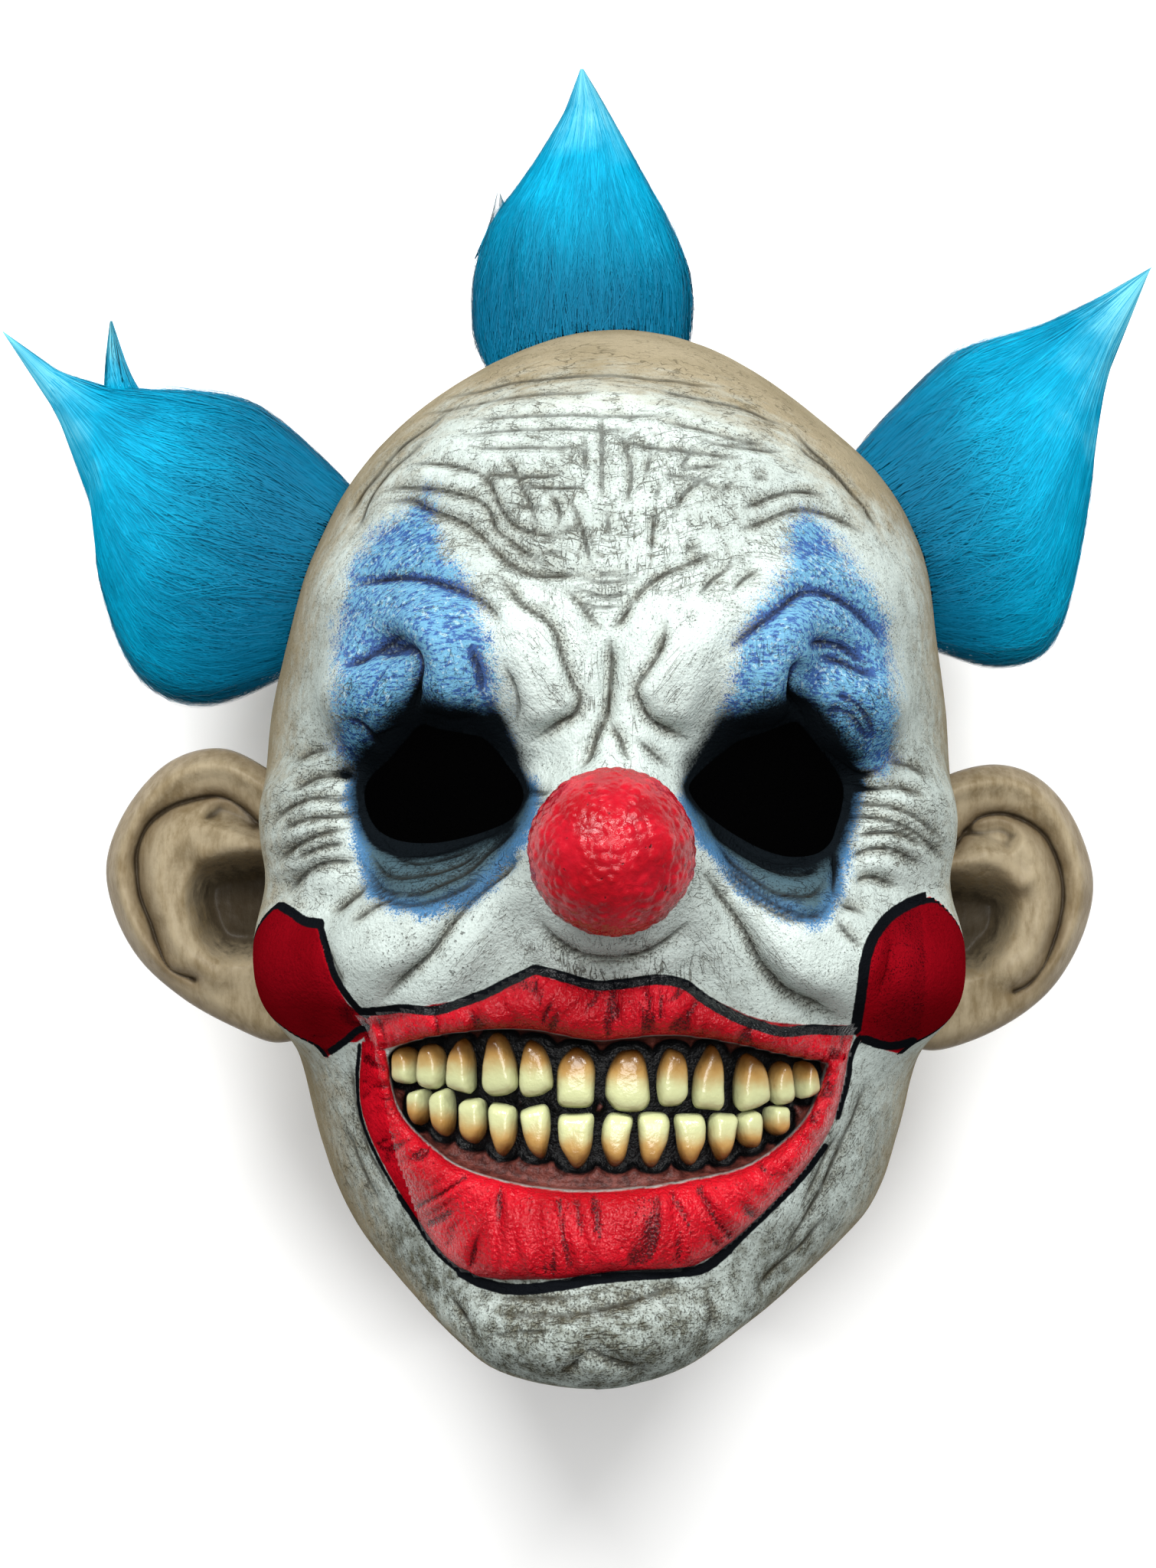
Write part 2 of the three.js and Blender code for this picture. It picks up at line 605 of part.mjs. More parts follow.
function ear({ middle, outline, outward }) {
  const geometry = formOver(middle, smoothLine(outline, true, POINTS_PER_SPAN), 4, (r, x) => {
    const edge = EAR_DEPTH_Z - EAR.lean * outward * (x - middle[0]);
    const fade = Math.sqrt(Math.max(0, 1 - r ** EAR.edgeRoundness));
    const rim = EAR.rim * Math.exp(-(((r - EAR.rimAt) / EAR.rimWidth) ** 2));
    const bowl = EAR.bowl * Math.exp(-((r / EAR.bowlReach) ** 4));
    const back = EAR.halfThickness + EAR.bowlBehind * bowl;
    return [edge + fade * (EAR.halfThickness + rim - bowl), edge - fade * back];
  });
  return toSolid(geometry);
}

function lip({ outer, inner, proud }) {
  const edges = [outer, inner].map((points) => smoothLine(points, false, POINTS_PER_SPAN));
  return toSolid(formBetween(...edges, LIP_SIDES, (x, y, angle, width, along) => {
    const swell = LIP_END + (1 - LIP_END) * Math.sin(Math.PI * along) ** LIP_FULLNESS;
    return faceZ(x, y) + Math.sin(angle) * (angle < Math.PI ? proud * swell : LIP_SUNK);
  }));
}

function mouthHollow() {
  const heights = (r, x, y) => [faceZ(x, y) + MOUTH.clearance, faceZ(x, y) - MOUTH.depth];
  return toSolid(formOver(MOUTH.middle, mouthLine, 3, heights, true));
}

function tooth([x, width, top, bottom], rootUp) {
  const y = (top + bottom) / 2;
  const halfHeight = (top - bottom) / 2;
  const taper = rootUp ? -TOOTH_TAPER : TOOTH_TAPER;
  const squared = (value) => Math.sign(value) * Math.abs(value) ** TOOTH_SQUARENESS;
  const outline = Array.from({ length: TOOTH_SIDES }, (_, i) => {
    const angle = (2 * Math.PI * i) / TOOTH_SIDES;
    const halfWidth = (width / 2) * (1 + taper * Math.sin(angle));
    return new THREE.Vector2(halfWidth * squared(Math.cos(angle)), halfHeight * squared(Math.sin(angle)));
  });
  const geometry = formOver([0, 0], outline, 2, (r) => {
    const depth = TOOTH_HALF_DEPTH * Math.sqrt(Math.max(0, 1 - r ** TOOTH_EDGE));
    return [depth, -depth];
  });
  const reach = width / 2;
  const slope = (faceZ(x + reach, y) - faceZ(x - reach, y)) / (2 * reach);
  geometry.rotateY(-Math.atan(slope));
  geometry.translate(x, y, faceZ(x, y) - TOOTH_SUNK);
  return toSolid(geometry);
}

function noseBall(radius, sides) {
  const geometry = new THREE.SphereGeometry(radius, sides, (sides * 2) / 3);
  geometry.translate(NOSE.x, NOSE.y, NOSE.z);
  return toSolid(geometry);
}

function noseHollow() {
  const sides = 12;
  const neck = new THREE.CylinderGeometry(NOSE_NECK.radius, NOSE_NECK.radius, NOSE_NECK.length, sides);
  neck.rotateX(Math.PI / 2);
  neck.translate(NOSE.x, NOSE.y, NOSE.z - NOSE_NECK.length / 2);
  return noseBall(NOSE.radius - WALL, sides).add(toSolid(neck));
}

function eyeHole(outline) {
  const line = smoothLine(outline, true, POINTS_PER_SPAN).map((point) => [point.x, point.y]);
  return extruded(line, EYE_CUT.height, (geometry) => geometry.translate(0, 0, EYE_CUT.bottomZ));
}

function belowNeckRim() {
  return extruded(NECK_RIM, CUTTER_SIZE, (geometry) => {
    geometry.rotateY(-Math.PI / 2);
    geometry.translate(CUTTER_SIZE / 2, 0, 0);
  });
}

function underRest() {
  const box = new THREE.BoxGeometry(CUTTER_SIZE, CUTTER_SIZE, CUTTER_DEPTH);
  box.translate(0, 0, -CUTTER_DEPTH / 2);
  return toSolid(box);
}

function maskShell() {
  let solid = toSolid(closedSurface(headSurface()));
  solid = solid.add(noseBall(NOSE.radius, NOSE_SIDES)).add(ear(EAR_LEFT)).add(ear(EAR_RIGHT));
  solid = solid.subtract(mouthHollow()).add(lip(UPPER_LIP)).add(lip(LOWER_LIP));
  solid = solid.subtract(headCavity()).subtract(noseHollow());
  for (const row of UPPER_TEETH) solid = solid.add(tooth(row, true));
  for (const row of LOWER_TEETH) solid = solid.add(tooth(row, false));
  for (const outline of EYE_HOLES) solid = solid.subtract(eyeHole(outline));
  return solid.subtract(belowNeckRim()).subtract(underRest());
}

// Hair tufts

function hairForm([left, right]) {
  const edges = [left, right].map((points) => smoothLine(points, false, POINTS_PER_SPAN));
  return toSolid(formBetween(...edges, TUFT_SIDES, (x, y, angle, width) => {
    const locks = 1 + TUFT_LOCKS.height * Math.cos(TUFT_LOCKS.count * angle);
    return TUFT_Z + 0.5 * width * TUFT_THICKNESS * locks * Math.sin(angle);
  }));
}

function hairTuft({ edges, strays }, skin) {
  return strays.reduce((solid, stray) => solid.add(hairForm(stray)), hairForm(edges)).subtract(skin);
}

const shellMaterial = new THREE.MeshStandardMaterial({ color: LATEX_WHITE, roughness: 0.55, metalness: 0 });
const mask = new THREE.Group();

const shellMesh = new THREE.Mesh(toGeometry(maskShell()), shellMaterial);
shellMesh.name = 'mask_shell';
mask.add(shellMesh);

const skinWithGap = toSolid(closedSurface(pushOut(headSurface(), () => GLUE_GAP)));
for (const tuft of TUFTS) {
  const material = new THREE.MeshStandardMaterial({ color: HAIR_TURQUOISE, roughness: 0.8, metalness: 0 });
  const mesh = new THREE.Mesh(toGeometry(hairTuft(tuft, skinWithGap)), material);
  mesh.name = tuft.name;
  mask.add(mesh);
}

export default mask;
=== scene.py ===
# %% [markdown]
# # A clown mask of painted latex
# This lesson dresses a plain, measured model of an over-the-head mask. The real mask is latex, cast in a
# plaster mould, painted by hand and trimmed with three tufts of long artificial fur. It lies on the back of
# its head with the face up. The measured model gives the places and sizes, and each cell builds one piece
# or one finish around it. Lengths in the tables are millimetres, and meshes are made in metres.

# %% Load the measured model
import math
from types import SimpleNamespace

import bmesh
import bpy
import numpy as np
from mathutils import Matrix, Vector, noise
from mathutils.kdtree import KDTree


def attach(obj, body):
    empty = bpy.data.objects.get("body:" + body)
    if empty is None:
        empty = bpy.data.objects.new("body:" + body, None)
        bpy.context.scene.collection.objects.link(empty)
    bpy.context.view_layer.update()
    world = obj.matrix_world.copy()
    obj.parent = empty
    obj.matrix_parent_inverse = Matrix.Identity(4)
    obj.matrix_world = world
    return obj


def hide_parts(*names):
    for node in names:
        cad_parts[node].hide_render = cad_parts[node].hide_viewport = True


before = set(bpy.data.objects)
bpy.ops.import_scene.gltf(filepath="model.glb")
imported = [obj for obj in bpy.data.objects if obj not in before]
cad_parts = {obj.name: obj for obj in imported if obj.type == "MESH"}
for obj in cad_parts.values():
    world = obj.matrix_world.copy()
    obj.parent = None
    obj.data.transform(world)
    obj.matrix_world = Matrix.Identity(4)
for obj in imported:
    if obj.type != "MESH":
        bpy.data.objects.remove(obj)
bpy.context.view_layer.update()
MM = 0.001
print("nodes:", sorted(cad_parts))

# %% [markdown]
# ## Lines and distances
# Wrinkles, lips and painted edges all follow lines drawn on the face. A line could be a Blender curve, but a
# sculpted skin needs the distance from every vertex to the line, so lines are smooth rows of points and the
# distances come from numpy. Distances stay smooth between vertices, so a painted edge that is cut from
# them in the shader is much sharper than the mesh.


# %% Smooth lines and the distance to them
def catmull_rom(rows, u):
    """Spans of a smooth curve through all rows but the first and the last, at shares u of each span."""
    spans = []
    for a, b, c, d in zip(rows, rows[1:], rows[2:], rows[3:]):
        spans.append(b + 0.5 * u * (c - a + u * (2 * a - 5 * b + 4 * c - d + u * (3 * (b - c) + d - a))))
    return spans


def smooth_line(points, closed=False, steps=6):
    """A smooth row of points through the stated points."""
    p = np.asarray(points, float)
    if closed:
        p = np.vstack([p[-1:], p, p[:2]])
    else:
        p = np.vstack([2 * p[:1] - p[1:2], p, 2 * p[-1:] - p[-2:-1]])
    spans = catmull_rom(p, np.linspace(0, 1, steps, endpoint=False)[:, None])
    return np.vstack(spans if closed else spans + [p[-2:-1]])


def to_line(x, y, line, closed=False):
    """Distance, side (+1 left of the line) and length along the line, of each place x, y."""
    a = line
    b = np.roll(line, -1, axis=0)
    if not closed:
        a, b = a[:-1], b[:-1]
    lengths = np.hypot(*(b - a).T)
    starts = np.concatenate([[0], np.cumsum(lengths)[:-1]])
    best = np.full(x.shape, np.inf)
    side = np.ones(x.shape)
    along = np.zeros(x.shape)
    for (ax, ay), (bx, by), size, start in zip(a, b, lengths, starts):
        if size < 1e-9:
            continue
        dx, dy = (bx - ax) / size, (by - ay) / size
        s = np.clip((x - ax) * dx + (y - ay) * dy, 0, size)
        ox, oy = x - ax - s * dx, y - ay - s * dy
        distance = np.hypot(ox, oy)
        nearer = distance < best
        best = np.where(nearer, distance, best)
        side = np.where(nearer, np.where(dx * oy - dy * ox >= 0, 1.0, -1.0), side)
        along = np.where(nearer, start + s, along)
    return best, side, along


def is_inside(x, y, line):
    """Whether each place lies in a closed line, by counting the crossings of a level ray."""
    inside = np.zeros(x.shape, bool)
    for (ax, ay), (bx, by) in zip(line, np.roll(line, -1, axis=0)):
        if ay != by:
            inside ^= ((ay > y) != (by > y)) & (x < (bx - ax) * (y - ay) / (by - ay) + ax)
    return inside


def signed_distance(x, y, outline):
    """Distance to a closed outline, over zero inside it."""
    line = smooth_line(outline, closed=True)
    distance, _, _ = to_line(x, y, line, closed=True)
    return np.where(is_inside(x, y, line), distance, -distance)


def either(outlines):
    """A function for the distance to the nearer of two closed outlines, over zero inside it."""
    return lambda x, y: np.maximum(*[signed_distance(x, y, outline) for outline in outlines])


def smoothstep(low, high, value):
    """A soft step from 0 at low to 1 at high, which may be the smaller."""
    t = np.clip((value - low) / (high - low), 0, 1)
    return t * t * (3 - 2 * t)


LATTICE = 128             # cells before the noise repeats


def lattice_noise(u, v, seed):
    """Smooth random values from -1 to 1, one lattice cell per unit of u and v."""
    table = np.random.default_rng(seed).uniform(-1, 1, (LATTICE, LATTICE))
    i, j = np.floor(u).astype(int), np.floor(v).astype(int)
    f, g = u - i, v - j
    f, g = f ** 3 * (f * (f * 6 - 15) + 10), g ** 3 * (g * (g * 6 - 15) + 10)
    i, j, i_next, j_next = i % LATTICE, j % LATTICE, (i + 1) % LATTICE, (j + 1) % LATTICE
    a, b, c, d = table[i, j], table[i_next, j], table[i, j_next], table[i_next, j_next]
    return (a + f * (b - a)) * (1 - g) + (c + f * (d - c)) * g


# %% [markdown]
# ## The head
# The latex skin is one thin wall over a big round head. It could be sculpted by hand, but then it would not
# match the measured model. So the same seventeen sections are lofted here with far more rows and columns,
# crowded on the face where the wrinkles are and sparse behind.

# %% Sections of the head and its place at any height
WIDEST_SHARE = 0.46       # of the depth, where a section is widest
FIRST_Y, LAST_Y = -140.4, 114.9     # just inside the chin and the crown
# y, x of the middle, half width, front z, back z, squareness
HEAD_SECTIONS = np.array([
    (-140.5, -6, 0, 207, 207, 2.0), (-137.5, -5.5, 21, 218, 190, 2.0), (-128.5, -4, 36, 224, 155, 2.1),
    (-117, -2, 53, 219, 80, 2.2), (-104, 0, 66, 216, 30, 2.3), (-86, 0, 73, 217, 22, 2.3),
    (-64, 0, 78, 219, 12, 2.35), (-40, 0, 82, 219, 2.5, 2.5), (-14, 0, 85.5, 213, -1.3, 2.5),
    (12, 0, 86, 211, -1.3, 2.5), (36, 1, 82, 217, 1.5, 2.4), (58, 2.5, 77, 211, 8, 2.3),
    (77, 2.5, 67, 200, 20, 2.2), (93, 1.5, 51, 182, 37, 2.1), (105, 2, 34, 158, 59, 2.0),
    (112.5, 2.5, 17, 131, 83, 2.0), (115, 2.5, 0, 107, 107, 2.0),
])
SECTION_STEPS = 200


def dense_sections():
    """The sections interpolated finely. Mirrored neighbours past both ends round the chin and the crown."""
    mirrored = HEAD_SECTIONS[:, [0, 1, 2, 4, 3, 5]] * [1, 1, -1, 1, 1, 1]
    rows = np.vstack([mirrored[1:2], HEAD_SECTIONS, mirrored[-2:-1]])
    spans = catmull_rom(rows, np.linspace(0, 1, SECTION_STEPS, endpoint=False)[:, None])
    return np.vstack(spans + [HEAD_SECTIONS[-1:]])


DENSE = dense_sections()


def section_at(y):
    """x of the middle, half width, front, back and squareness of the head at height y."""
    return [np.interp(y, DENSE[:, 0], DENSE[:, k]) for k in range(1, 6)]


def face_z(x, y):
    """Height of the featureless face at a place."""
    middle, half, front, back, square = section_at(np.clip(y, FIRST_Y, LAST_Y))
    widest = back + WIDEST_SHARE * (front - back)
    across = np.clip(np.abs(x - middle) / np.maximum(half, 1e-6), 0, 1)
    return widest + (front - widest) * np.maximum(0, 1 - across ** square) ** (1 / square)


print("face height at the mouth: %.1f mm" % face_z(np.array(0.0), np.array(-75.0)))

# %% [markdown]
# ## Rows and columns
# A sphere would waste most of its faces on the back of the head. Each row is measured along its own outline
# and cut into columns by a density: fine across the face, coarser on the temples, coarse behind.

# %% The grid of the outer skin
SKIN_ROWS = 292
SKIN_COLUMNS = 312
FINE_PITCH = 0.85         # of the columns on the face
SIDE_PITCH = 2.4
BACK_PITCH = 7.0
FINE_REACH = 70           # the face is fine to this distance from the middle


def section_outline(row, count=1200):
    """One section as a dense closed outline of x, z, starting behind and going round over the left side."""
    middle, half, front, back, square = row
    angle = np.linspace(-math.pi, math.pi, count + 1)
    power = 2 / square
    sine, cosine = np.sin(angle), np.cos(angle)
    widest = back + WIDEST_SHARE * (front - back)
    depth = np.where(cosine > 0, front - widest, widest - back)
    x = middle + half * np.sign(sine) * np.abs(sine) ** power
    z = widest + depth * np.sign(cosine) * np.abs(cosine) ** power
    return x, z, widest


def head_grid(rows, columns, fine=FINE_PITCH, side=SIDE_PITCH, back=BACK_PITCH):
    """Points [row, column, xyz] of the featureless head, and its two end points."""
    profile = np.hypot(np.gradient(DENSE[:, 0]), np.gradient(DENSE[:, 3]) * 0.5)
    reach = np.cumsum(profile)
    reach = (reach - reach[0]) / (reach[-1] - reach[0])
    picks = np.interp(np.arange(1, rows) / rows, reach, np.arange(len(DENSE)))
    grid = np.zeros((rows - 1, columns, 3))
    for i, pick in enumerate(picks):
        values = np.array([np.interp(pick, np.arange(len(DENSE)), DENSE[:, k]) for k in range(6)])
        x, z, widest = section_outline(values[1:])
        step = np.hypot(np.diff(x), np.diff(z))
        mx, mz = (x[1:] + x[:-1]) / 2, (z[1:] + z[:-1]) / 2
        sideways = smoothstep(FINE_REACH * 0.9, FINE_REACH * 1.12, np.abs(mx - values[1]))
        pitch = fine + (side - fine) * sideways
        pitch = pitch + (back - pitch) * smoothstep(0.35, -0.25, (mz - widest) / (values[3] - widest + 1e-6))
        density = np.concatenate([[0], np.cumsum(step / pitch)])
        targets = np.arange(columns) / columns * density[-1]
        grid[i, :, 0] = np.interp(targets, density, x)
        grid[i, :, 1] = values[0]
        grid[i, :, 2] = np.interp(targets, density, z)
    ends = [np.array([row[1], row[0], row[3]]) for row in (HEAD_SECTIONS[0], HEAD_SECTIONS[-1])]
    return grid, ends


def grid_normals(grid, ends):
    below = np.concatenate([np.broadcast_to(ends[0], grid[:1].shape), grid[:-1]])
    above = np.concatenate([grid[1:], np.broadcast_to(ends[1], grid[:1].shape)])
    across = np.roll(grid, -1, axis=1) - np.roll(grid, 1, axis=1)
    normal = np.cross(across, above - below)
    return normal / np.maximum(np.linalg.norm(normal, axis=2, keepdims=True), 1e-9)


def grid_faces(rows, columns):
    """Quads of a closed grid with a fan at each end. The two end points come last."""
    i, j = np.meshgrid(np.arange(rows - 1), np.arange(columns), indexing="ij")
    a = (i * columns + j).ravel()
    b = (i * columns + (j + 1) % columns).ravel()
    quads = np.stack([a, b, b + columns, a + columns], axis=1).tolist()
    chin, crown, top = rows * columns, rows * columns + 1, (rows - 1) * columns
    fans = [(chin, (k + 1) % columns, k) for k in range(columns)]
    fans += [(crown, top + k, top + (k + 1) % columns) for k in range(columns)]
    return quads + fans


skin, skin_ends = head_grid(SKIN_ROWS, SKIN_COLUMNS)
print("skin grid:", skin.shape, "pitch on the face: %.2f mm" % np.ptp(skin[150, 150:152, 0]))

# %% [markdown]
# ## Big forms
# The sculptor first laid on the large soft forms: brows, frown bulges, cheeks, the ends of the grin. Each is
# a mound pushed out along the skin's own direction. The mounds fade where the skin turns sideways, because
# a face is carved from the front.

# %% Mounds and hollows
# middle, half sizes, turn in degrees, height
MOUNDS = [
    ((-47, 43), (26, 12), -8, 4), ((49, 41), (26, 12), 8, 4),            # brows
    ((-56, 20), (11, 13), 20, 9.5), ((57, 17), (11, 14), -30, 9.5),          # outer lobes of the brows
    ((-38, 26), (9, 14), 10, 9), ((36, 25), (9, 14), -10, 9),        # inner lobes of the brows
    ((-15, 24), (11, 17), 24, 7.5), ((13, 24), (11, 17), -24, 7.5),      # frown bulges
    ((-40, -1), (25, 16), -4, -7), ((38, -1), (25, 16), 4, -7),          # eye sockets
    ((-45, -36), (24, 14), 30, 11), ((46, -38), (24, 14), -30, 11),      # cheeks
    ((-78, -44), (14, 19), 20, 12), ((77, -45), (14, 19), -20, 12),      # ends of the cheeks
    ((-74, -10), (14, 15), 0, 7), ((73, -10), (14, 15), 0, 7),           # temple folds
    ((0, -19), (22, 21), 0, 28), ((0, 4), (9, 14), 0, 5),                # base and bridge of the nose
    ((-4, -128), (21, 11), 0, 4),                                        # chin
]
FACE_START, FACE_FULL = -0.1, 0.35


def face_share(normal):
    return smoothstep(FACE_START, FACE_FULL, normal[..., 2])


def mound_height(x, y):
    total = np.zeros(x.shape)
    for (mx, my), (hx, hy), turn, height in MOUNDS:
        c, s = math.cos(math.radians(turn)), math.sin(math.radians(turn))
        along = ((x - mx) * c + (y - my) * s) / hx
        across = ((y - my) * c - (x - mx) * s) / hy
        total += height * np.exp(-((along ** 2 + across ** 2) ** 1.5))
    return total


def push_out(grid, ends, height_at):
    normal = grid_normals(grid, ends)
    height = height_at(grid, normal)
    return grid + normal * height[..., None], height


plain_normals = grid_normals(skin, skin_ends)       # of the head without its mounds
skin, mounds = push_out(skin, skin_ends, lambda g, n: mound_height(g[..., 0], g[..., 1]) * face_share(n))
print("mounds: %.1f to %.1f mm" % (mounds.min(), mounds.max()))

# %% [markdown]
# ## Wrinkles
# Latex masks are cast from clay, and the wrinkles were drawn into the clay with loop tools. A drawn wrinkle is
# a narrow furrow with a puffed fold beside it. They could be painted as a bump map, but a furrow of one or
# two millimetres shows in the outline and throws its own shadow, so it is real relief. The profile
# exp(-distance / width) has a sharp bottom and leaves full rounded folds between neighbouring lines.

# %% Wrinkle lines of the forehead and the brows
# depth, width of the furrow's flank, points
FOREHEAD_LINES = [
    (1.9, 2.2, [(-57, 66), (-53, 68), (-48, 68.5), (-44, 66), (-36, 62.5), (-30, 58), (-25, 53), (-20, 50),
                (-14, 49), (-3, 49)]),
    (1.6, 2.0, [(-57, 69), (-52, 71.5), (-44, 71), (-33, 68), (-29, 65), (-27, 60), (-22, 56), (-13, 49)]),
    (1.5, 2.0, [(-50, 76), (-44, 77.5), (-36, 76), (-30, 73), (-28, 70), (-26, 65), (-21, 60), (-8, 57)]),
    (1.3, 1.2, [(-26, 79), (-23, 75), (-21, 70), (-19, 66), (-17, 59.5)]),
    (1.2, 1.2, [(-10, 79), (-9, 75)]), (1.2, 1.2, [(-15, 70), (-12, 64), (-13, 59)]),
    (1.3, 1.2, [(-10, 68), (-7, 61), (-5, 53), (-4, 50)]), (1.0, 1.2, [(-2, 90), (-2, 78), (-2, 66)]),
    (1.2, 1.2, [(-6, 84), (-6, 76), (-5, 73)]), (1.1, 1.2, [(-1, 65), (0, 57)]),
    (1.2, 1.2, [(3, 85), (3.5, 80), (5, 74), (3.5, 64)]),
    (1.4, 1.4, [(-32, 74), (-22, 73), (-10, 73)]), (1.2, 1.3, [(-23, 70.5), (-14, 70), (-5, 70)]),
    (1.0, 1.2, [(-24, 65), (-14, 65)]), (1.0, 1.2, [(-13, 60), (-4, 60)]), (1.0, 1.2, [(-18, 54), (-10, 54)]),
    (1.1, 1.4, [(-14, 49.5), (-5, 49), (5, 49.5)]),
    (0.8, 1.5, [(-34, 80), (-18, 80), (-2, 79.5)]), (0.8, 1.5, [(-38, 84), (-16, 84.5), (8, 84)]),
    (0.8, 1.6, [(-36, 88), (-12, 88), (16, 88)]),
    (1.0, 1.3, [(-11, 47), (-5, 44.5), (0, 43.5), (6, 45.5)]), (0.9, 1.3, [(-9, 49), (-2, 47), (8, 48)]),
    (0.8, 1.2, [(-8, 43), (-3, 41), (3, 41.5)]),
    (1.5, 1.6, [(-11, 46), (-7, 42), (-4, 38), (-1, 35.5)]), (1.5, 1.6, [(6, 44), (3, 39), (0, 35.5)]),
    (1.9, 2.2, [(3, 40), (8, 46), (14, 50), (20, 52.5), (26, 54.5)]), (1.2, 1.5, [(20, 43), (24, 48), (30, 52)]),
    (1.2, 1.5, [(28, 44), (31, 48), (36, 51)]), (1.2, 1.2, [(16, 55), (22, 55.5)]),
    (1.5, 2.0, [(30, 64), (36, 67), (42, 69.5), (47, 70), (53, 68.5)]),
    (1.7, 2.2, [(29, 59), (36, 62), (43, 65), (50, 65.5), (57, 63), (62, 59)]),
    (1.0, 1.8, [(10, 95), (20, 93.5), (32, 91), (44, 86)]),
    (1.1, 1.8, [(12, 86.5), (22, 85), (30, 82.5), (40, 81)]), (1.1, 1.6, [(20, 82.5), (30, 80.5), (44, 80)]),
    (1.1, 1.6, [(0, 82), (10, 80), (20, 79), (32, 77)]), (1.0, 1.4, [(11, 73), (20, 72), (28, 68.5)]),
    (1.4, 1.2, [(10.5, 65), (9.5, 53.5)]), (1.1, 1.2, [(10, 80), (8, 71)]), (1.0, 1.2, [(12, 72), (10.5, 66)]),
    (1.3, 1.3, [(21, 81), (18, 77), (18, 75), (28, 76)]), (1.2, 1.3, [(26, 74), (18, 69), (15, 63)]),
    (1.0, 1.2, [(30, 72), (25, 68)]), (1.0, 1.2, [(38, 73), (33, 71.5)]),
    (0.9, 2.0, [(-44, 95), (-20, 98), (4, 99), (30, 96)]), (0.8, 2.0, [(-48, 91), (-22, 93.5), (0, 94)]),
    (1.3, 2.2, [(-66, 63), (-60, 73), (-50, 84), (-38, 92)]),
    (1.2, 2.2, [(66, 60), (60, 70), (52, 79), (44, 86)]), (1.2, 2.0, [(-62, 60), (-56, 74), (-44, 84)]),
    (1.1, 2.0, [(62, 66), (55, 75), (44, 83)]),
]
BROW_LINES = [
    (2.2, 1.8, [(-28, 50), (-24, 46), (-20, 42), (-15, 39), (-12, 35), (-11, 31), (-10, 28), (-8, 23), (-6.5, 20),
                (-8, 16), (-12, 13.5), (-20, 9)]),
    (2.6, 1.7, [(-0.5, 35.5), (0, 28), (-0.5, 20), (-1, 16), (-3, 12), (-6, 6), (-8, 2.5)]),
    (1.8, 1.6, [(-0.5, 16), (0, 14), (2.5, 10), (5, 5)]),
    (2.4, 2.6, [(-62, 46), (-58, 48.5), (-50, 49.5), (-44, 49), (-36, 46.5), (-30, 43), (-24, 36)]),
    (2.6, 2.2, [(-64, 27.5), (-60, 29.5), (-55, 32.5), (-51, 34.5), (-47.5, 34.5)]),
    (4.6, 2.6, [(-57, 30.5), (-52, 32), (-48, 31), (-46, 27), (-46.5, 22), (-46, 14)]),
    (1.5, 1.5, [(-33, 33), (-31, 28), (-30, 24), (-30, 20)]),
    (1.8, 1.6, [(-45, 17), (-42, 15.5), (-38, 14), (-33, 14.5), (-31, 17)]),
    (1.5, 1.6, [(-48, 14), (-52, 12), (-58, 9)]), (1.3, 1.6, [(-64, 16), (-58, 13), (-53, 7)]),
    (2.4, 2.4, [(27.5, 28), (28.5, 32), (33, 37), (40, 42), (46, 45.5), (52, 45), (58, 42), (63, 37), (66, 32)]),
    (2.4, 2.0, [(46, 31.5), (50, 33), (56, 32), (62, 28)]),
    (2.0, 1.8, [(48, 30), (54, 29), (60, 27), (64, 25)]),
    (4.6, 2.6, [(44.5, 30), (44.5, 27), (44, 21), (44.5, 17), (46, 13.5)]),
    (1.7, 1.6, [(29, 13), (34, 12), (40, 13.5), (44, 17)]),
    (1.2, 1.3, [(49, 17), (55, 17), (60, 12), (62, 8)]), (1.2, 1.3, [(50, 21), (56, 20), (61, 15), (63, 9)]),
    (1.5, 1.6, [(48, 10), (54, 5), (60, 2), (66, 4)]),
    (2.2, 1.8, [(13, 40), (12, 34), (10.5, 30), (8, 26), (5.5, 22), (7, 18), (10, 14), (15, 11.5), (20, 10)]),
    (1.1, 1.2, [(5, 11), (9, 8), (15, 3)]), (1.2, 1.5, [(-20, -1), (-16, -2), (-13, -1.5)]),
    (1.1, 1.4, [(-19, -5), (-14, -4)]), (1.0, 1.4, [(-25, 28), (-22, 20), (-22, 13)]),
]

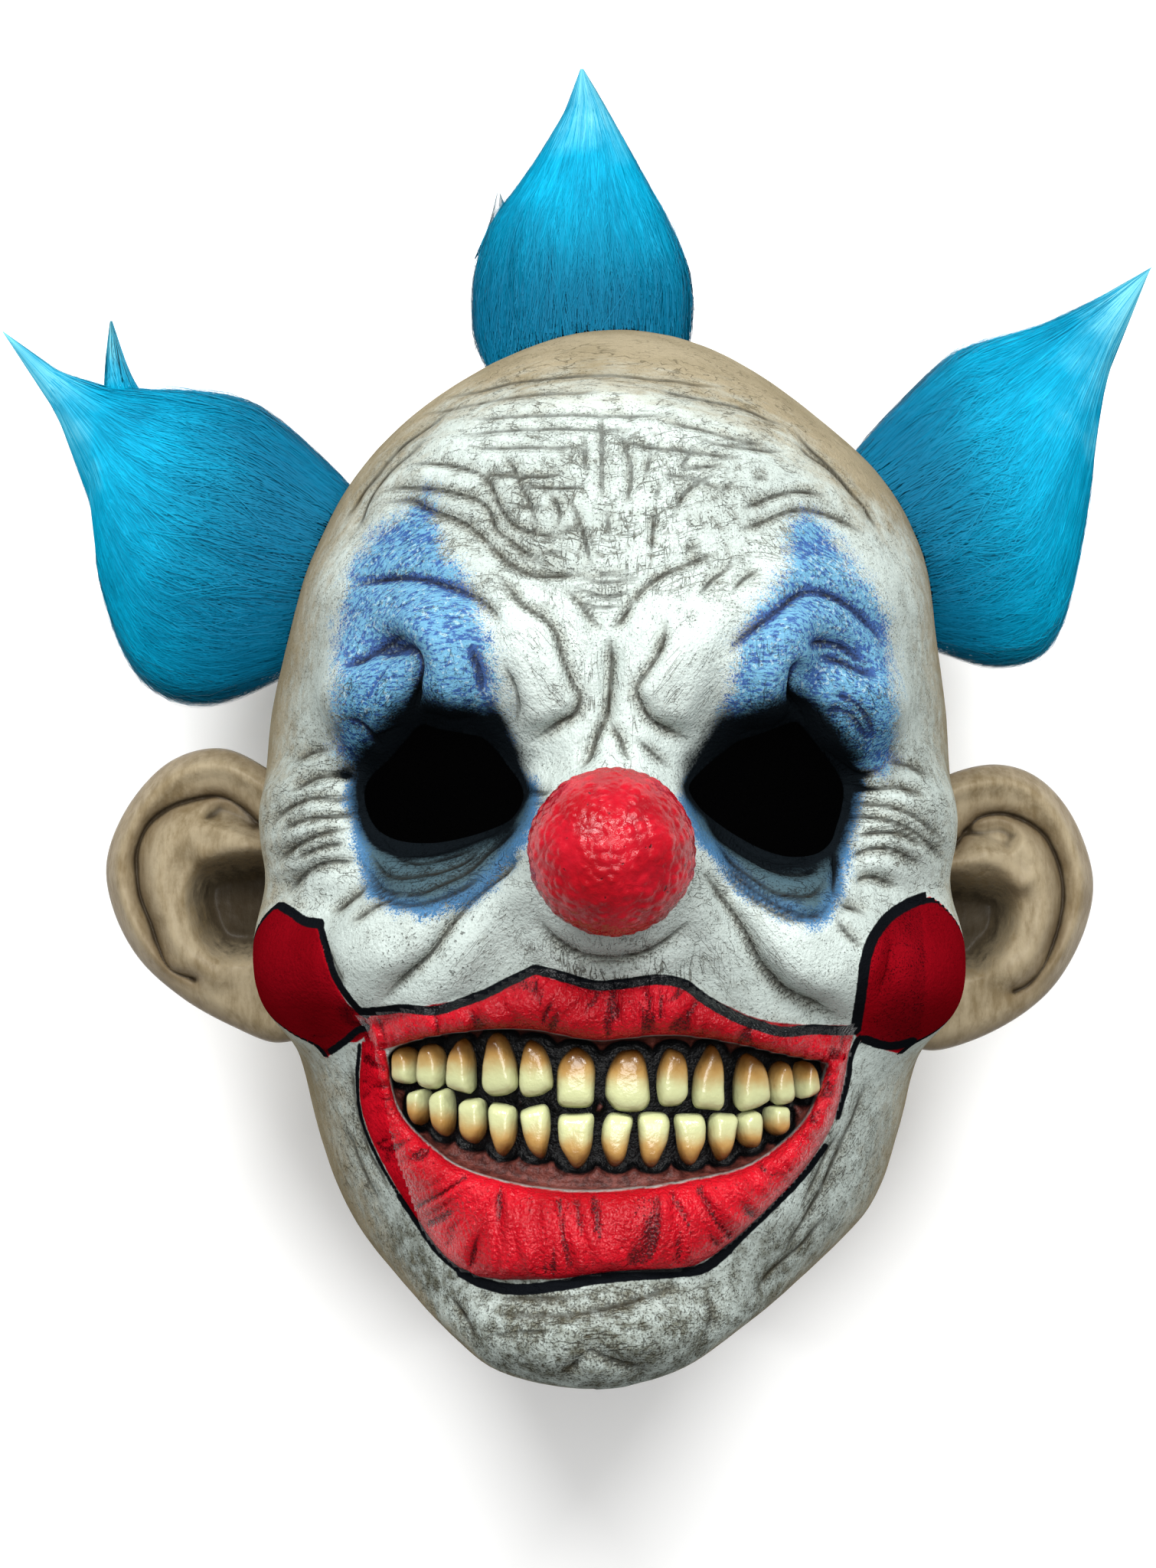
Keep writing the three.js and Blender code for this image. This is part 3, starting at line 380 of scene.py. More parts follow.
# %% Wrinkle lines around the eyes and on the cheeks
EYE_LINES = [
    (1.7, 1.7, [(-60, -8), (-55, -14), (-48, -16), (-40, -15), (-30, -12), (-22, -8)]),
    (1.6, 1.5, [(-58, -15), (-53, -21), (-45, -21), (-36, -19), (-28, -13)]),
    (1.8, 1.6, [(-60, -18), (-56, -22), (-53, -24.5), (-45, -25), (-36, -21.5), (-28, -15), (-20, -8)]),
    (1.6, 1.6, [(22, -8), (30, -15), (38, -19.5), (46, -20.5), (52, -17.5)]),
    (1.6, 1.5, [(24, -13), (31, -20), (39, -25), (47, -25.5), (52, -21)]),
    (1.8, 1.6, [(26, -17), (33, -24), (41, -29), (48, -30.5), (52, -27)]),
    (1.5, 1.4, [(53, -15), (53.5, -21), (52, -27)]),
    (1.3, 1.3, [(-58, -20), (-54, -26), (-46, -28), (-37, -25.5), (-29, -19)]),
    (1.2, 1.3, [(-57, -11), (-48, -18), (-38, -17), (-29, -14.5)]),
    (1.3, 1.3, [(25, -18), (33, -26.5), (42, -31), (50, -29)]),
    (1.2, 1.3, [(26, -10), (34, -16), (44, -18), (51, -13)]),
    (2.0, 1.7, [(-60, 1), (-66, 2.5), (-72, 1.5), (-78, -2.5)]),
    (2.2, 1.7, [(-60, -3), (-66, -3.5), (-72, -3), (-79, -6), (-83, -11)]),
    (2.2, 1.7, [(-59, -7), (-66, -7.5), (-74, -8.5), (-81, -12)]),
    (2.2, 1.7, [(-61, -11), (-68, -11.5), (-76, -15), (-82, -20)]),
    (2.1, 1.7, [(-62, -14), (-70, -15.5), (-77, -19)]),
    (2.1, 1.7, [(-60, -18.5), (-68, -19), (-74, -22), (-79, -27)]),
    (2.0, 1.7, [(55, 0), (62, -1), (70, -0.5), (77, -3)]),
    (2.2, 1.7, [(56, -5), (62, -4.5), (70, -6), (77, -10), (82, -15)]),
    (2.2, 1.7, [(55, -9), (60, -7.5), (68, -9), (76, -13), (83, -20)]),
    (2.2, 1.7, [(57, -13), (63, -11.5), (70, -12), (77, -16)]),
    (2.1, 1.7, [(56, -18), (62, -15.5), (68, -16), (76, -20)]), (2.0, 1.7, [(57, -24), (62, -22), (70, -25)]),
    (1.8, 1.7, [(-66, 8), (-72, 8), (-78, 5)]), (1.8, 1.7, [(66, 5), (72, 5), (79, 2)]),
]
CHEEK_LINES = [
    (1.8, 1.8, [(-56, -23), (-62, -27), (-68, -31)]), (1.6, 1.8, [(-62, -33), (-55, -28), (-48, -25)]),
    (1.6, 1.8, [(53, -28), (58, -28.5), (61, -31)]), (1.2, 1.4, [(52, -31), (57, -36), (60, -39)]),
    (4.0, 2.8, [(-19, -16), (-24, -18.5), (-30, -23), (-36, -31), (-42, -40), (-46, -44), (-55, -52)]),
    (4.0, 2.8, [(20, -20), (25, -23), (28, -28), (31, -35), (34, -42), (38, -47), (43, -51), (56, -56)]),
    (1.2, 1.6, [(-69.5, -34), (-66, -42), (-62, -50)]), (1.6, 2.0, [(67, -36), (66, -44), (63, -51)]),
    (1.5, 1.6, [(-18, -30), (-12, -37), (-4, -40.5), (6, -40), (14, -36), (19, -30)]),
    (1.2, 1.6, [(-52, -98), (-58, -88), (-62, -76), (-62, -66)]),
    (1.0, 1.5, [(-55, -102), (-60, -92), (-64, -82)]),
    (1.4, 2.2, [(40, -113), (46, -104), (52, -94), (58, -82), (62, -70)]),
    (1.2, 2.0, [(45, -100), (50, -92), (55, -82)]), (1.2, 2.0, [(33, -122), (38, -116), (46, -110), (52, -102)]),
    (1.6, 1.8, [(-28, -124), (-20, -122.5), (-10, -122), (0, -120), (10, -118), (18, -116.5)]),
    (1.2, 1.6, [(-27, -120), (-18, -119), (-8, -118.5)]), (1.2, 1.6, [(-30, -129), (-22, -127), (-12, -126)]),
    (1.9, 2.4, [(-8, -134), (-5, -131), (-2, -132.5), (3, -134.5), (10, -137)]),
    (1.6, 1.6, [(-12, -137), (-8, -134), (-6, -131)]), (1.4, 1.8, [(-38, -120), (-34, -126), (-32, -132)]),
    (1.0, 1.6, [(22, -118), (24, -124), (22, -131)]),
]
LINES = FOREHEAD_LINES + BROW_LINES + EYE_LINES + CHEEK_LINES
INK_REACH = 1.4           # how far from a furrow's bottom its distance is kept for the paint
FLANK_REACH = 2.6         # how far the soft dirt reaches
PUFF, PUFF_AT, PUFF_WIDTH = 0.3, 2.4, 1.5       # the fold beside a furrow: share of its depth, flank widths
FURROW_CROSSING, PUFF_CROSSING = 0.25, 0.3      # this share of the smaller one is added where two meet
TAPER, TAPER_SHARE = 3.0, 0.12                  # an end fades over these mm and this share of the length


def carve(grid, normal):
    """Furrow depth, and the side distance and strength of the nearest furrow for the paint in it."""
    x, y = grid[..., 0], grid[..., 1]
    share = face_share(normal)
    depth, puffed = np.zeros(x.shape), np.zeros(x.shape)
    side_distance = np.full(x.shape, INK_REACH)
    strength, flank = np.zeros(x.shape), np.zeros(x.shape)
    nearest = np.full(x.shape, INK_REACH)
    for deep, width, points in LINES:
        line = smooth_line(points)
        margin = 5 * width
        low, high = line.min(0) - margin, line.max(0) + margin
        near = (x > low[0]) & (x < high[0]) & (y > low[1]) & (y < high[1]) & (share > 0)
        if not near.any():
            continue
        distance, side, along = to_line(x[near], y[near], line)
        length = np.hypot(*np.diff(line, axis=0).T).sum()
        taper = smoothstep(-0.5, TAPER + TAPER_SHARE * length, np.minimum(along, length - along))
        furrow = deep * taper * np.exp(-distance / width)
        depth[near] = np.maximum(depth[near], furrow) + FURROW_CROSSING * np.minimum(depth[near], furrow)
        shoulder = PUFF * deep * taper * np.exp(-((distance / width - PUFF_AT) / PUFF_WIDTH) ** 2)
        puffed[near] = np.maximum(puffed[near], shoulder) + PUFF_CROSSING * np.minimum(puffed[near], shoulder)
        kept, closer = nearest[near], distance < nearest[near]
        nearest[near] = np.where(closer, distance, kept)
        side_distance[near] = np.where(closer, side * distance, side_distance[near])
        ink = taper * np.maximum(0, 1 - distance / INK_REACH) * min(1, 0.45 + deep / 2.5)
        strength[near] = np.where(closer, ink, strength[near])
        soft = taper * smoothstep(FLANK_REACH, 0, distance) * min(1, deep / 1.8)
        flank[near] = np.maximum(flank[near], soft)
    return (puffed - depth) * share, side_distance, strength * share, flank * share


normals = grid_normals(skin, skin_ends)
furrows, ink_side, ink_strength, flank = carve(skin, normals)
print("%d wrinkles, the deepest %.1f mm" % (len(LINES), -furrows.min()))

# %% [markdown]
# ## Creased skin between the wrinkles
# Between the drawn wrinkles the clay was scratched with a wire brush, so fine creases run with the big ones.
# They are finer than the mesh, so the shader draws them from stretched noise. The mesh only says where they
# lie and which way they run: level, steep, rising or falling. Level ones follow arcs over the brows.

# %% Where fine creases run, and a little unevenness
# middle, half sizes, strength
CREASE_PATCHES = {
    "level": [((0, 102), (60, 12), 0.6), ((0, 62), (60, 20), 0.8), ((0, 88), (66, 15), 0.7),
              ((-70, -10), (18, 22), 0.6), ((69, -12), (18, 22), 0.6), ((-40, -20), (22, 8), 0.8),
              ((38, -23), (22, 8), 0.8), ((-3, -127), (42, 14), 0.8), ((-47, 46), (20, 12), 0.5),
              ((48, 42), (20, 12), 0.5)],
    "steep": [((-2, 62), (32, 24), 0.8), ((0, 14), (10, 16), 0.7), ((1, -44), (24, 9), 0.9),
              ((-38, 24), (8, 13), 0.5), ((36, 24), (8, 13), 0.5)],
    "rising": [((16, 30), (10, 20), 0.4), ((-31, -36), (20, 13), 0.35), ((52, -96), (16, 34), 0.7),
               ((-57, 20), (9, 14), 0.7), ((-38, 62), (18, 12), 0.5)],
    "falling": [((-16, 30), (10, 20), 0.4), ((31, -38), (20, 13), 0.35), ((-60, -90), (14, 32), 0.7),
                ((57, 18), (11, 14), 0.7), ((38, 60), (18, 12), 0.5)],
}


def patch_share(grid, normal, patches):
    x, y = grid[..., 0], grid[..., 1]
    share = np.zeros(x.shape)
    for (px, py), (hx, hy), strength in patches:
        share = np.maximum(share, strength * np.exp(-(np.abs((x - px) / hx) ** 3 + np.abs((y - py) / hy) ** 3)))
    return share * face_share(normal)


# grime, which is also painted shade on the chin, the jaw sides, the temples and the lower edges of the brow lobes
GRIME_AND_SHADE_PATCHES = [((-3, -128), (50, 20), 1.0), ((-42, -114), (22, 18), 1.0), ((40, -116), (20, 16), 0.9),
                 ((-62, -95), (16, 36), 0.6), ((56, -98), (16, 36), 0.55), ((-80, 25), (14, 60), 0.4),
                 ((81, 25), (14, 60), 0.4), ((0, 66), (55, 22), 0.35), ((1, -46), (30, 9), 0.25),
                 ((-56, 13), (13, 10), 1.2), ((57, 11), (13, 11), 1.2), ((-40, 18), (9, 8), 0.7),
                 ((38, 16), (9, 8), 0.7)]
PITTED_PATCHES = [((-3, -128), (36, 16), 1), ((-40, -36), (14, 11), 0.8), ((60, -95), (12, 30), 0.5),
                  ((-16, -12), (8, 8), 0.5)]
LUMPS = [(0.12, 4.2, 1), (0.3, 11, 2)]          # height, size, seed
crease_fields = {name: patch_share(skin, normals, patches) for name, patches in CREASE_PATCHES.items()}
crease_fields["grime"] = patch_share(skin, normals, GRIME_AND_SHADE_PATCHES)
crease_fields["pitted"] = patch_share(skin, normals, PITTED_PATCHES)
x, y = skin[..., 0], skin[..., 1]
crease_fields["arc"] = y + 14 * np.exp(-(x / 25) ** 2) * (y > 0) + 0.0035 * x ** 2 * smoothstep(10, 30, y)
lumps = sum(high * lattice_noise(x / size, y / size, seed) for high, size, seed in LUMPS) * face_share(normals)
skin = skin + normals * (furrows + lumps)[..., None]
print("lumps to %.2f mm" % lumps.max())

# %% [markdown]
# ## Lips and mouth
# The lips are two fat rolls that were modelled on top of the face, with the mouth hollowed out between them.
# Because the whole face is seen and carved from the front, both are heights set over the face: a half
# round between the outer and the inner edge of each lip, and a floor with gums inside.

# %% Lips, gums and the mouth's floor
LIPS = [
    ([(-60, -55), (-42, -51.5), (-30, -49), (-17, -42.5), (-6, -46), (4, -45.5), (14, -44.5), (26, -51),
      (38, -55.5), (58, -57)],
     [(-57, -64), (-45, -60), (-33, -57.7), (-19, -57), (-4, -59.6), (4, -58.9), (15, -58.3), (27, -60),
      (41, -63.5), (56, -67)], 7),
    ([(-59, -61), (-59, -79), (-48, -100), (-35, -114), (-15, -115), (3, -113), (20, -112), (38, -99),
      (52, -82), (57, -63)],
     [(-53, -63), (-50, -77), (-40, -87), (-30, -91.5), (-14, -94.5), (3, -94.5), (18, -92.5), (33, -89),
      (46, -79), (52, -65)], 8),
]
MOUTH = [(-53, -65), (-45, -59), (-33, -56.5), (-20, -56), (-4, -58.5), (12, -57.5), (27, -59), (43, -63),
         (53, -66), (46, -80), (32, -90), (18, -93.5), (-4, -96.5), (-26, -93), (-41, -87), (-50, -77)]
MOUTH_DEPTH = 9
GUM_THICKNESS = 3.6       # of the gums over the mouth's floor
BLACK_ROUND_TEETH = 1.8   # mm of black that was brushed round each tooth
LIP_END = 0.3             # fullness at the corners of the mouth
LIP_FULLNESS = 0.4        # under 1, the lips stay full nearly to the corners
LIP_FOLD = 1.55           # half height of the fleshy folds across a lip
LIP_SHIFT = 200           # moves the folds of one lip on, for each mm that it stands proud
MOUTH_LOW, MOUTH_HIGH = (-75, -130, 150), (75, -30, 300)      # only skin between these corners is changed
# middle x, width, top y, bottom y
UPPER_TEETH = [
    (-48.1, 6.0, -62.0, -70.6), (-41.9, 6.9, -61.0, -71.3), (-34.8, 6.6, -60.1, -72.2),
    (-25.9, 8.2, -58.5, -72.7), (-17.6, 8.0, -60.1, -72.5), (-8.0, 9.4, -61.5, -75.0), (4.1, 10.5, -61.9, -75.7),
    (14.4, 7.6, -61.7, -74.5), (23.0, 7.5, -61.5, -76.1), (32.8, 8.5, -63.5, -76.1), (39.9, 5.7, -65.2, -75.2),
    (45.9, 4.8, -65.6, -74.1),
]
LOWER_TEETH = [
    (-44.9, 4.3, -72.2, -80.3), (-39.2, 5.3, -72.2, -82.8), (-32.1, 6.6, -74.1, -84.4),
    (-25.0, 6.4, -74.8, -86.6), (-17.2, 6.9, -75.2, -87.1), (-8.0, 8.5, -76.8, -89.1), (1.3, 6.9, -77.0, -89.1),
    (9.8, 7.3, -76.6, -89.1), (18.5, 7.3, -77.0, -88.7), (26.0, 6.4, -77.0, -87.8), (32.4, 6.0, -77.0, -85.5),
    (39.0, 5.5, -75.9, -82.8),
]


def gum_side(x, y):
    """Over zero on the gums, under zero in the black that was brushed round each tooth."""
    away = np.full(x.shape, 1e3)
    for tx, width, top, bottom in UPPER_TEETH + LOWER_TEETH:
        dx, dy = x - tx, y - (top + bottom) / 2
        size = ((np.abs(dx) / (width / 2)) ** 3 + (np.abs(dy) / ((top - bottom) / 2)) ** 3) ** (1 / 3)
        away = np.minimum(away, np.hypot(dx, dy) * (1 - 1 / np.maximum(size, 1e-3)))
    return away - BLACK_ROUND_TEETH


def lip_folds(along, across):
    """Fleshy cross folds of a lip, from -1 in a groove to 1 on a ridge, flat towards the edges."""
    swayed = along + 1.3 * lattice_noise(along / 9, across * 1.5, 31)
    folds = 0.75 * lattice_noise(swayed / 1.9, across * 1.1, 32) + 0.5 * lattice_noise(swayed / 1.1, across * 2.4,
                                                                                       33)
    return folds * smoothstep(0.0, 0.16, across) * smoothstep(1.0, 0.88, across)


def lip_heights(x, y):
    """Lip height over the face, distance inside a lip, and how dark its folds are."""
    height, inside_by, furrow = np.full(x.shape, -1e3), np.full(x.shape, -50.0), np.zeros(x.shape)
    for outer_points, inner_points, proud in LIPS:
        outer, inner = smooth_line(outer_points), smooth_line(inner_points)
        ring = np.vstack([outer, inner[::-1]])
        edge = to_line(x, y, ring, closed=True)[0]
        edge = np.where(is_inside(x, y, ring), edge, -edge)
        out, _, along = to_line(x, y, outer)
        across = out / np.maximum(out + to_line(x, y, inner)[0], 1e-6)
        length = np.hypot(*np.diff(outer, axis=0).T).sum()
        swell = LIP_END + (1 - LIP_END) * np.maximum(np.sin(np.pi * along / length), 0) ** LIP_FULLNESS
        folds = lip_folds(along + LIP_SHIFT * proud, across)
        roll = proud * swell * 2 * np.sqrt(np.clip(across * (1 - across), 0, 1)) + LIP_FOLD * folds
        better = edge > inside_by
        height = np.where(better & (edge > 0), roll, height)
        furrow = np.where(better, smoothstep(0.12, 0.7, -folds), furrow)
        inside_by = np.maximum(inside_by, edge)
    return height, inside_by, furrow


def shape_mouth(grid):
    """The skin with its mouth and lips, and the fields that the paint needs."""
    x, y = grid[..., 0], grid[..., 1]
    near = ((grid > MOUTH_LOW) & (grid < MOUTH_HIGH)).all(-1)
    px, py, z = x[near], y[near], grid[..., 2][near]
    base = face_z(px, py)
    mouth, gum = signed_distance(px, py, MOUTH), gum_side(px, py)
    floor = base - MOUTH_DEPTH + GUM_THICKNESS * smoothstep(-0.5, 1.1, gum)
    z = np.where(mouth > 0, np.minimum(z, z + (floor - z) * smoothstep(0, 2.0, mouth)), z)
    lip, lip_edge, furrow = lip_heights(px, py)
    z = np.where(lip_edge > 0, np.maximum(z, base + lip), z)
    grid = grid.copy()
    grid[..., 2][near] = z
    fields = {}
    for name, value, elsewhere in (("lip", lip_edge, -50.0), ("mouth", mouth, -50.0), ("gum", gum, -5.0),
                                   ("lip_furrow", furrow, 0.0)):
        fields[name] = np.full(x.shape, elsewhere)
        fields[name][near] = value
    return grid, fields


skin, fields = shape_mouth(skin)
print("lips stand %.0f and %.0f mm proud, mouth %.0f mm deep" % (LIPS[0][2], LIPS[1][2], MOUTH_DEPTH))

# %% [markdown]
# ## Eye holes and the wall
# The wearer looks out through two holes cut with scissors. The rim of each hole is rolled in a little
# first, so the cut edge is soft. The holes, the hollow and the neck are then cut for good with Boolean
# modifiers, because only a real wall shows its thickness at the holes and at the neck.

# %% Roll the rims of the eye holes
EYE_HOLES = [
    [(-58.6, -2), (-56.6, 2.2), (-52.4, 6), (-48.2, 10.6), (-44.6, 14), (-40.5, 13), (-35, 12), (-30, 10.8),
     (-26.6, 7.6), (-24, 4.1), (-21.4, 0.6), (-20.4, -3.4), (-23.1, -8.1), (-28.4, -10.8), (-35.4, -12.9),
     (-42.4, -14), (-49.4, -13.6), (-54.6, -11.4), (-57.4, -7.6)],
    [(18.4, -0.8), (21.4, 3.2), (25.8, 6.9), (30.2, 10.1), (35.8, 12), (40.5, 13.8), (44, 14.6), (47, 11.6),
     (50.3, 7.6), (53.8, 3.2), (55.6, -1), (55.2, -5.5), (53.9, -9.9), (52.2, -14), (48.6, -16.6), (42.5, -17.2),
     (36.3, -15.6), (30.2, -12.5), (24.9, -9), (20.6, -5.2)],
]
RIM_ROLL, RIM_WIDTH = 3.6, 2.4      # depth and flank of the rolled-in rims
EYE_SKIN_Z = 140                    # only skin in front of this is near the eyes
front = skin[..., 2] > EYE_SKIN_Z
eye = np.full(front.shape, -60.0)
eye[front] = either(EYE_HOLES)(skin[..., 0][front], skin[..., 1][front])
skin[..., 2] -= RIM_ROLL * np.exp(-np.minimum(np.abs(eye), 30) / RIM_WIDTH)
print("eye holes: %d points of the grid lie in them" % (eye > 0).sum())

# %% The hollow inside
WALL, FACE_EXTRA = 2.6, 1.4                     # thickness, and what the face has more
CAVITY_FORM_SHARE, CAVITY_FORM_LIMIT = 0.7, 18  # how far the hollow follows the mounds
COARSE = (60, 60, 5, 6, 12)                     # rows, columns and pitches of a plain grid of the head


def cavity_forms(grid, normal):
    height = mound_height(grid[..., 0], grid[..., 1]) * face_share(normal)
    return np.where(height > 0, CAVITY_FORM_SHARE * np.minimum(height, CAVITY_FORM_LIMIT), height)


def cavity_walls(grid, normal):
    mouth = signed_distance(grid[..., 0], grid[..., 1], MOUTH)
    return -WALL - (FACE_EXTRA + MOUTH_DEPTH * smoothstep(-16, -5, mouth)) * face_share(normal)


cavity, cavity_ends = head_grid(*COARSE)
cavity, _ = push_out(cavity, cavity_ends, cavity_forms)
cavity, _ = push_out(cavity, cavity_ends, cavity_walls)
cavity_ends = [cavity_ends[0] + [0, WALL, 0], cavity_ends[1] - [0, WALL, 0]]
print("cavity grid:", cavity.shape)


# %% Meshes from grids and outlines, and the cuts
def make_object(name, points, faces, smooth=True):
    """A mesh object from points in millimetres."""
    mesh = bpy.data.meshes.new(name)
    mesh.from_pydata((np.asarray(points, float) * MM).tolist(), [], faces)
    mesh.validate()
    if smooth:
        mesh.shade_smooth()
    piece = bpy.data.objects.new(name, mesh)
    bpy.context.scene.collection.objects.link(piece)
    return piece


def face_out(piece):
    """Turns every face outwards, and the whole mesh if its volume comes out under zero."""
    work = bmesh.new()
    work.from_mesh(piece.data)
    bmesh.ops.recalc_face_normals(work, faces=work.faces)
    if work.calc_volume(signed=True) < 0:
        bmesh.ops.reverse_faces(work, faces=work.faces)
    work.to_mesh(piece.data)
    work.free()
    return piece


def from_grid(name, grid, ends):
    return face_out(make_object(name, np.vstack([grid.reshape(-1, 3), ends]), grid_faces(*grid.shape[:2])))


def prism(name, outline, low, high, axes=(0, 1, 2)):
    """A cutter over an outline, from low to high along the third of the axes."""
    n = len(outline)
    points = np.zeros((2 * n, 3))
    points[:, axes[:2]] = np.vstack([outline, outline])
    points[:n, axes[2]], points[n:, axes[2]] = low, high
    faces = [list(range(n))[::-1], list(range(n, 2 * n))]
    faces += [(k, (k + 1) % n, n + (k + 1) % n, n + k) for k in range(n)]
    return face_out(make_object(name, points, faces, smooth=False))


def store(piece, name, values):
    """Keeps a number for each vertex, which the shader reads by its name."""
    attribute = piece.data.attributes.new(name, "FLOAT", "POINT")
    attribute.data.foreach_set("value", np.asarray(values, np.float32).ravel())


def cut(piece, cutter):
    """Cuts a closed cutter out of a closed piece for good."""
    modifier = piece.modifiers.new("cut", "BOOLEAN")
    modifier.operation = "DIFFERENCE"
    modifier.solver = "MANIFOLD"
    modifier.object = cutter
    bpy.context.view_layer.update()
    evaluated = piece.evaluated_get(bpy.context.evaluated_depsgraph_get())
    mesh = bpy.data.meshes.new_from_object(evaluated)
    old = piece.data
    piece.modifiers.clear()
    piece.data = mesh
    bpy.data.meshes.remove(old)
    bpy.data.objects.remove(cutter)


NECK_RIM = np.array([(-20, -106), (150, -112), (180, -123), (190, -128), (190, -160), (-20, -160)], float)
REST_PLANE = np.array([(-200, -200), (200, -200), (200, 200), (-200, 200)], float)
mask_skin = from_grid("mask_skin", skin, skin_ends)
cut(mask_skin, from_grid("cavity", cavity, cavity_ends))
for outline in EYE_HOLES:
    cut(mask_skin, prism("eye", smooth_line(outline, closed=True), 150, 300))
cut(mask_skin, prism("neck", NECK_RIM, -150, 150, axes=(2, 1, 0)))
cut(mask_skin, prism("rest", REST_PLANE, -40, 0))
mask_skin.data.name = "mask_skin"
print("mask skin: %d faces after the cuts" % len(mask_skin.data.polygons))

# %% [markdown]
# ## Where the paint goes
# The mask was sprayed white over tan latex, then brushed red, blue and black, and last a thin black-brown
# wash was wiped over it, which stays in every furrow. Paint could be an image, but then it would be only as
# sharp as its pixels. Here each painted area is stored on the vertices as a distance to its edge, and the
# shader cuts it where the distance is zero.

# %% Painted areas as distances
BLUE_BROWS = [
    [(-43, 71), (-50, 66), (-60, 58), (-64, 48), (-65.5, 38), (-66, 15), (-64, 4), (-52, 5), (-38, 12), (-24, 4),
     (-24, 14), (-27, 30), (-29, 40), (-31, 45), (-36, 52), (-40, 62)],
    [(47, 65), (41, 60), (41, 52), (36, 45), (31, 38), (28, 31), (27, 22), (25, 12), (24, 3), (38, 11), (54, 3),
     (67, 3), (69, 15), (68, 30), (66, 42), (60, 51), (53, 60)],
]
CHEEK_BACK_Z = 158         # where the red of the cheeks ends on the side, which the photograph does not show
CHEEK_BACK_CURVE, CHEEK_BACK_MOST = 0.05, 16        # how that end is rounded, and its limit
CHEEK_MIDDLE_Y, CHEEK_REACH = -45, 24               # lines are cut off behind the end only this near its middle
LINE_HALF = 1.3            # of the black line round that end
EYE_BAGS = [
    [(-62, 2), (-61, -14), (-58, -25), (-50, -30), (-40, -31), (-30, -26.5), (-22, -18), (-16, -7), (-19, 2),
     (-40, 5)],
    [(60, 2), (58, -14), (55, -27), (49, -33), (41, -32), (32, -27), (24, -19), (16, -8), (19, 2), (38, 5)],
]
CHEEK_ENDS = [
    [(-110, -28), (-86.4, -26.5), (-76.6, -32.0), (-70.5, -33.5), (-67.4, -42), (-62.6, -52), (-57, -56),
     (-60, -60.5), (-64.4, -61), (-69, -65.5), (-80, -66), (-110, -62)],
    [(58.5, -58.7), (59.6, -48), (60.5, -40), (63.3, -35), (71.4, -29.4), (79, -27.6), (84.5, -28), (110, -31),
     (110, -62), (81, -65), (75, -64.5), (69, -64), (63, -61.5)],
]
# half width, points
BLACK_LINES = [
    (1.2, [(-89, -27.2), (-86.5, -26.8), (-82, -28.0), (-77, -30.5), (-73, -32.7), (-69, -33.2)]),
    (0.9, [(-69, -33.2), (-67, -39), (-64.5, -46), (-60, -52.5), (-57.5, -54.5)]),
    (1.1, [(-58.5, -53.8), (-52, -53), (-48, -52.5), (-41, -52.8), (-35, -50.9), (-29, -48.6), (-23, -45.5),
           (-17.5, -42.9)]),
    (1.2, [(-17.5, -42.9), (-13, -44), (-6, -46), (-2, -46.6), (4, -46), (11, -45.2), (17, -46.4), (22, -50),
           (28, -53.5), (34, -56), (40, -57.7), (47, -57.5), (53, -58), (58, -58.2)]),
    (0.9, [(-57.5, -57.5), (-60, -58.5), (-63, -61.2), (-67, -64.2)]),
    (1.4, [(58, -58), (58.4, -53), (59, -46), (59.8, -40.5), (62, -35.5), (67, -31), (74, -27.8), (80, -27.2),
           (84, -29), (86.5, -33)]),
    (1.1, [(60.5, -60.5), (64, -62), (68, -62.8), (73, -61.8)]),
    (0.8, [(59, -60), (57, -65), (56.5, -70), (54, -79)]),
    (0.9, [(51, -86), (45, -93), (38, -99.5), (33, -104), (28, -108.5)]),
    (1.3, [(28, -108.5), (22, -112.8), (15, -113.6), (5, -114), (-4, -114.8), (-12, -116.3), (-22, -117.6),
           (-30, -116.6), (-35, -114.6)]),
    (0.8, [(-35, -114.6), (-41, -110), (-46, -103.5), (-50, -98)]),
    (0.5, [(-50, -98), (-55, -90), (-59.5, -80), (-60.3, -70), (-59.5, -62)]),
]
PAINTED_Z = 120            # no painted area reaches further back


def face_field(grid, reach, value_at):
    """A field on the front of the head, -reach elsewhere."""
    field = np.full(grid.shape[:2], -float(reach))
    on = grid[..., 2] > PAINTED_Z
    field[on] = np.maximum(value_at(grid[..., 0][on], grid[..., 1][on]), -reach)
    return field


def black_line_side(x, y):
    """Over zero on a brushed black line."""
    best = np.full(x.shape, 50.0)
    for half, points in BLACK_LINES:
        best = np.minimum(best, to_line(x, y, smooth_line(points))[0] - half)
    return -best


def concavity(grid, ends, steps):
    """How far the surface lies in a hollow: its blurred neighbourhood stands above it, in millimetres."""
    blurred = grid.copy()
    for _ in range(steps):
        rolled = (np.roll(blurred, 1, axis=1) + blurred + np.roll(blurred, -1, axis=1)) / 3
        padded = np.concatenate([rolled[:1], rolled, rolled[-1:]])
        blurred = (padded[:-2] + padded[1:-1] + padded[2:]) / 3
    return ((blurred - grid) * grid_normals(blurred, ends)).sum(axis=2)


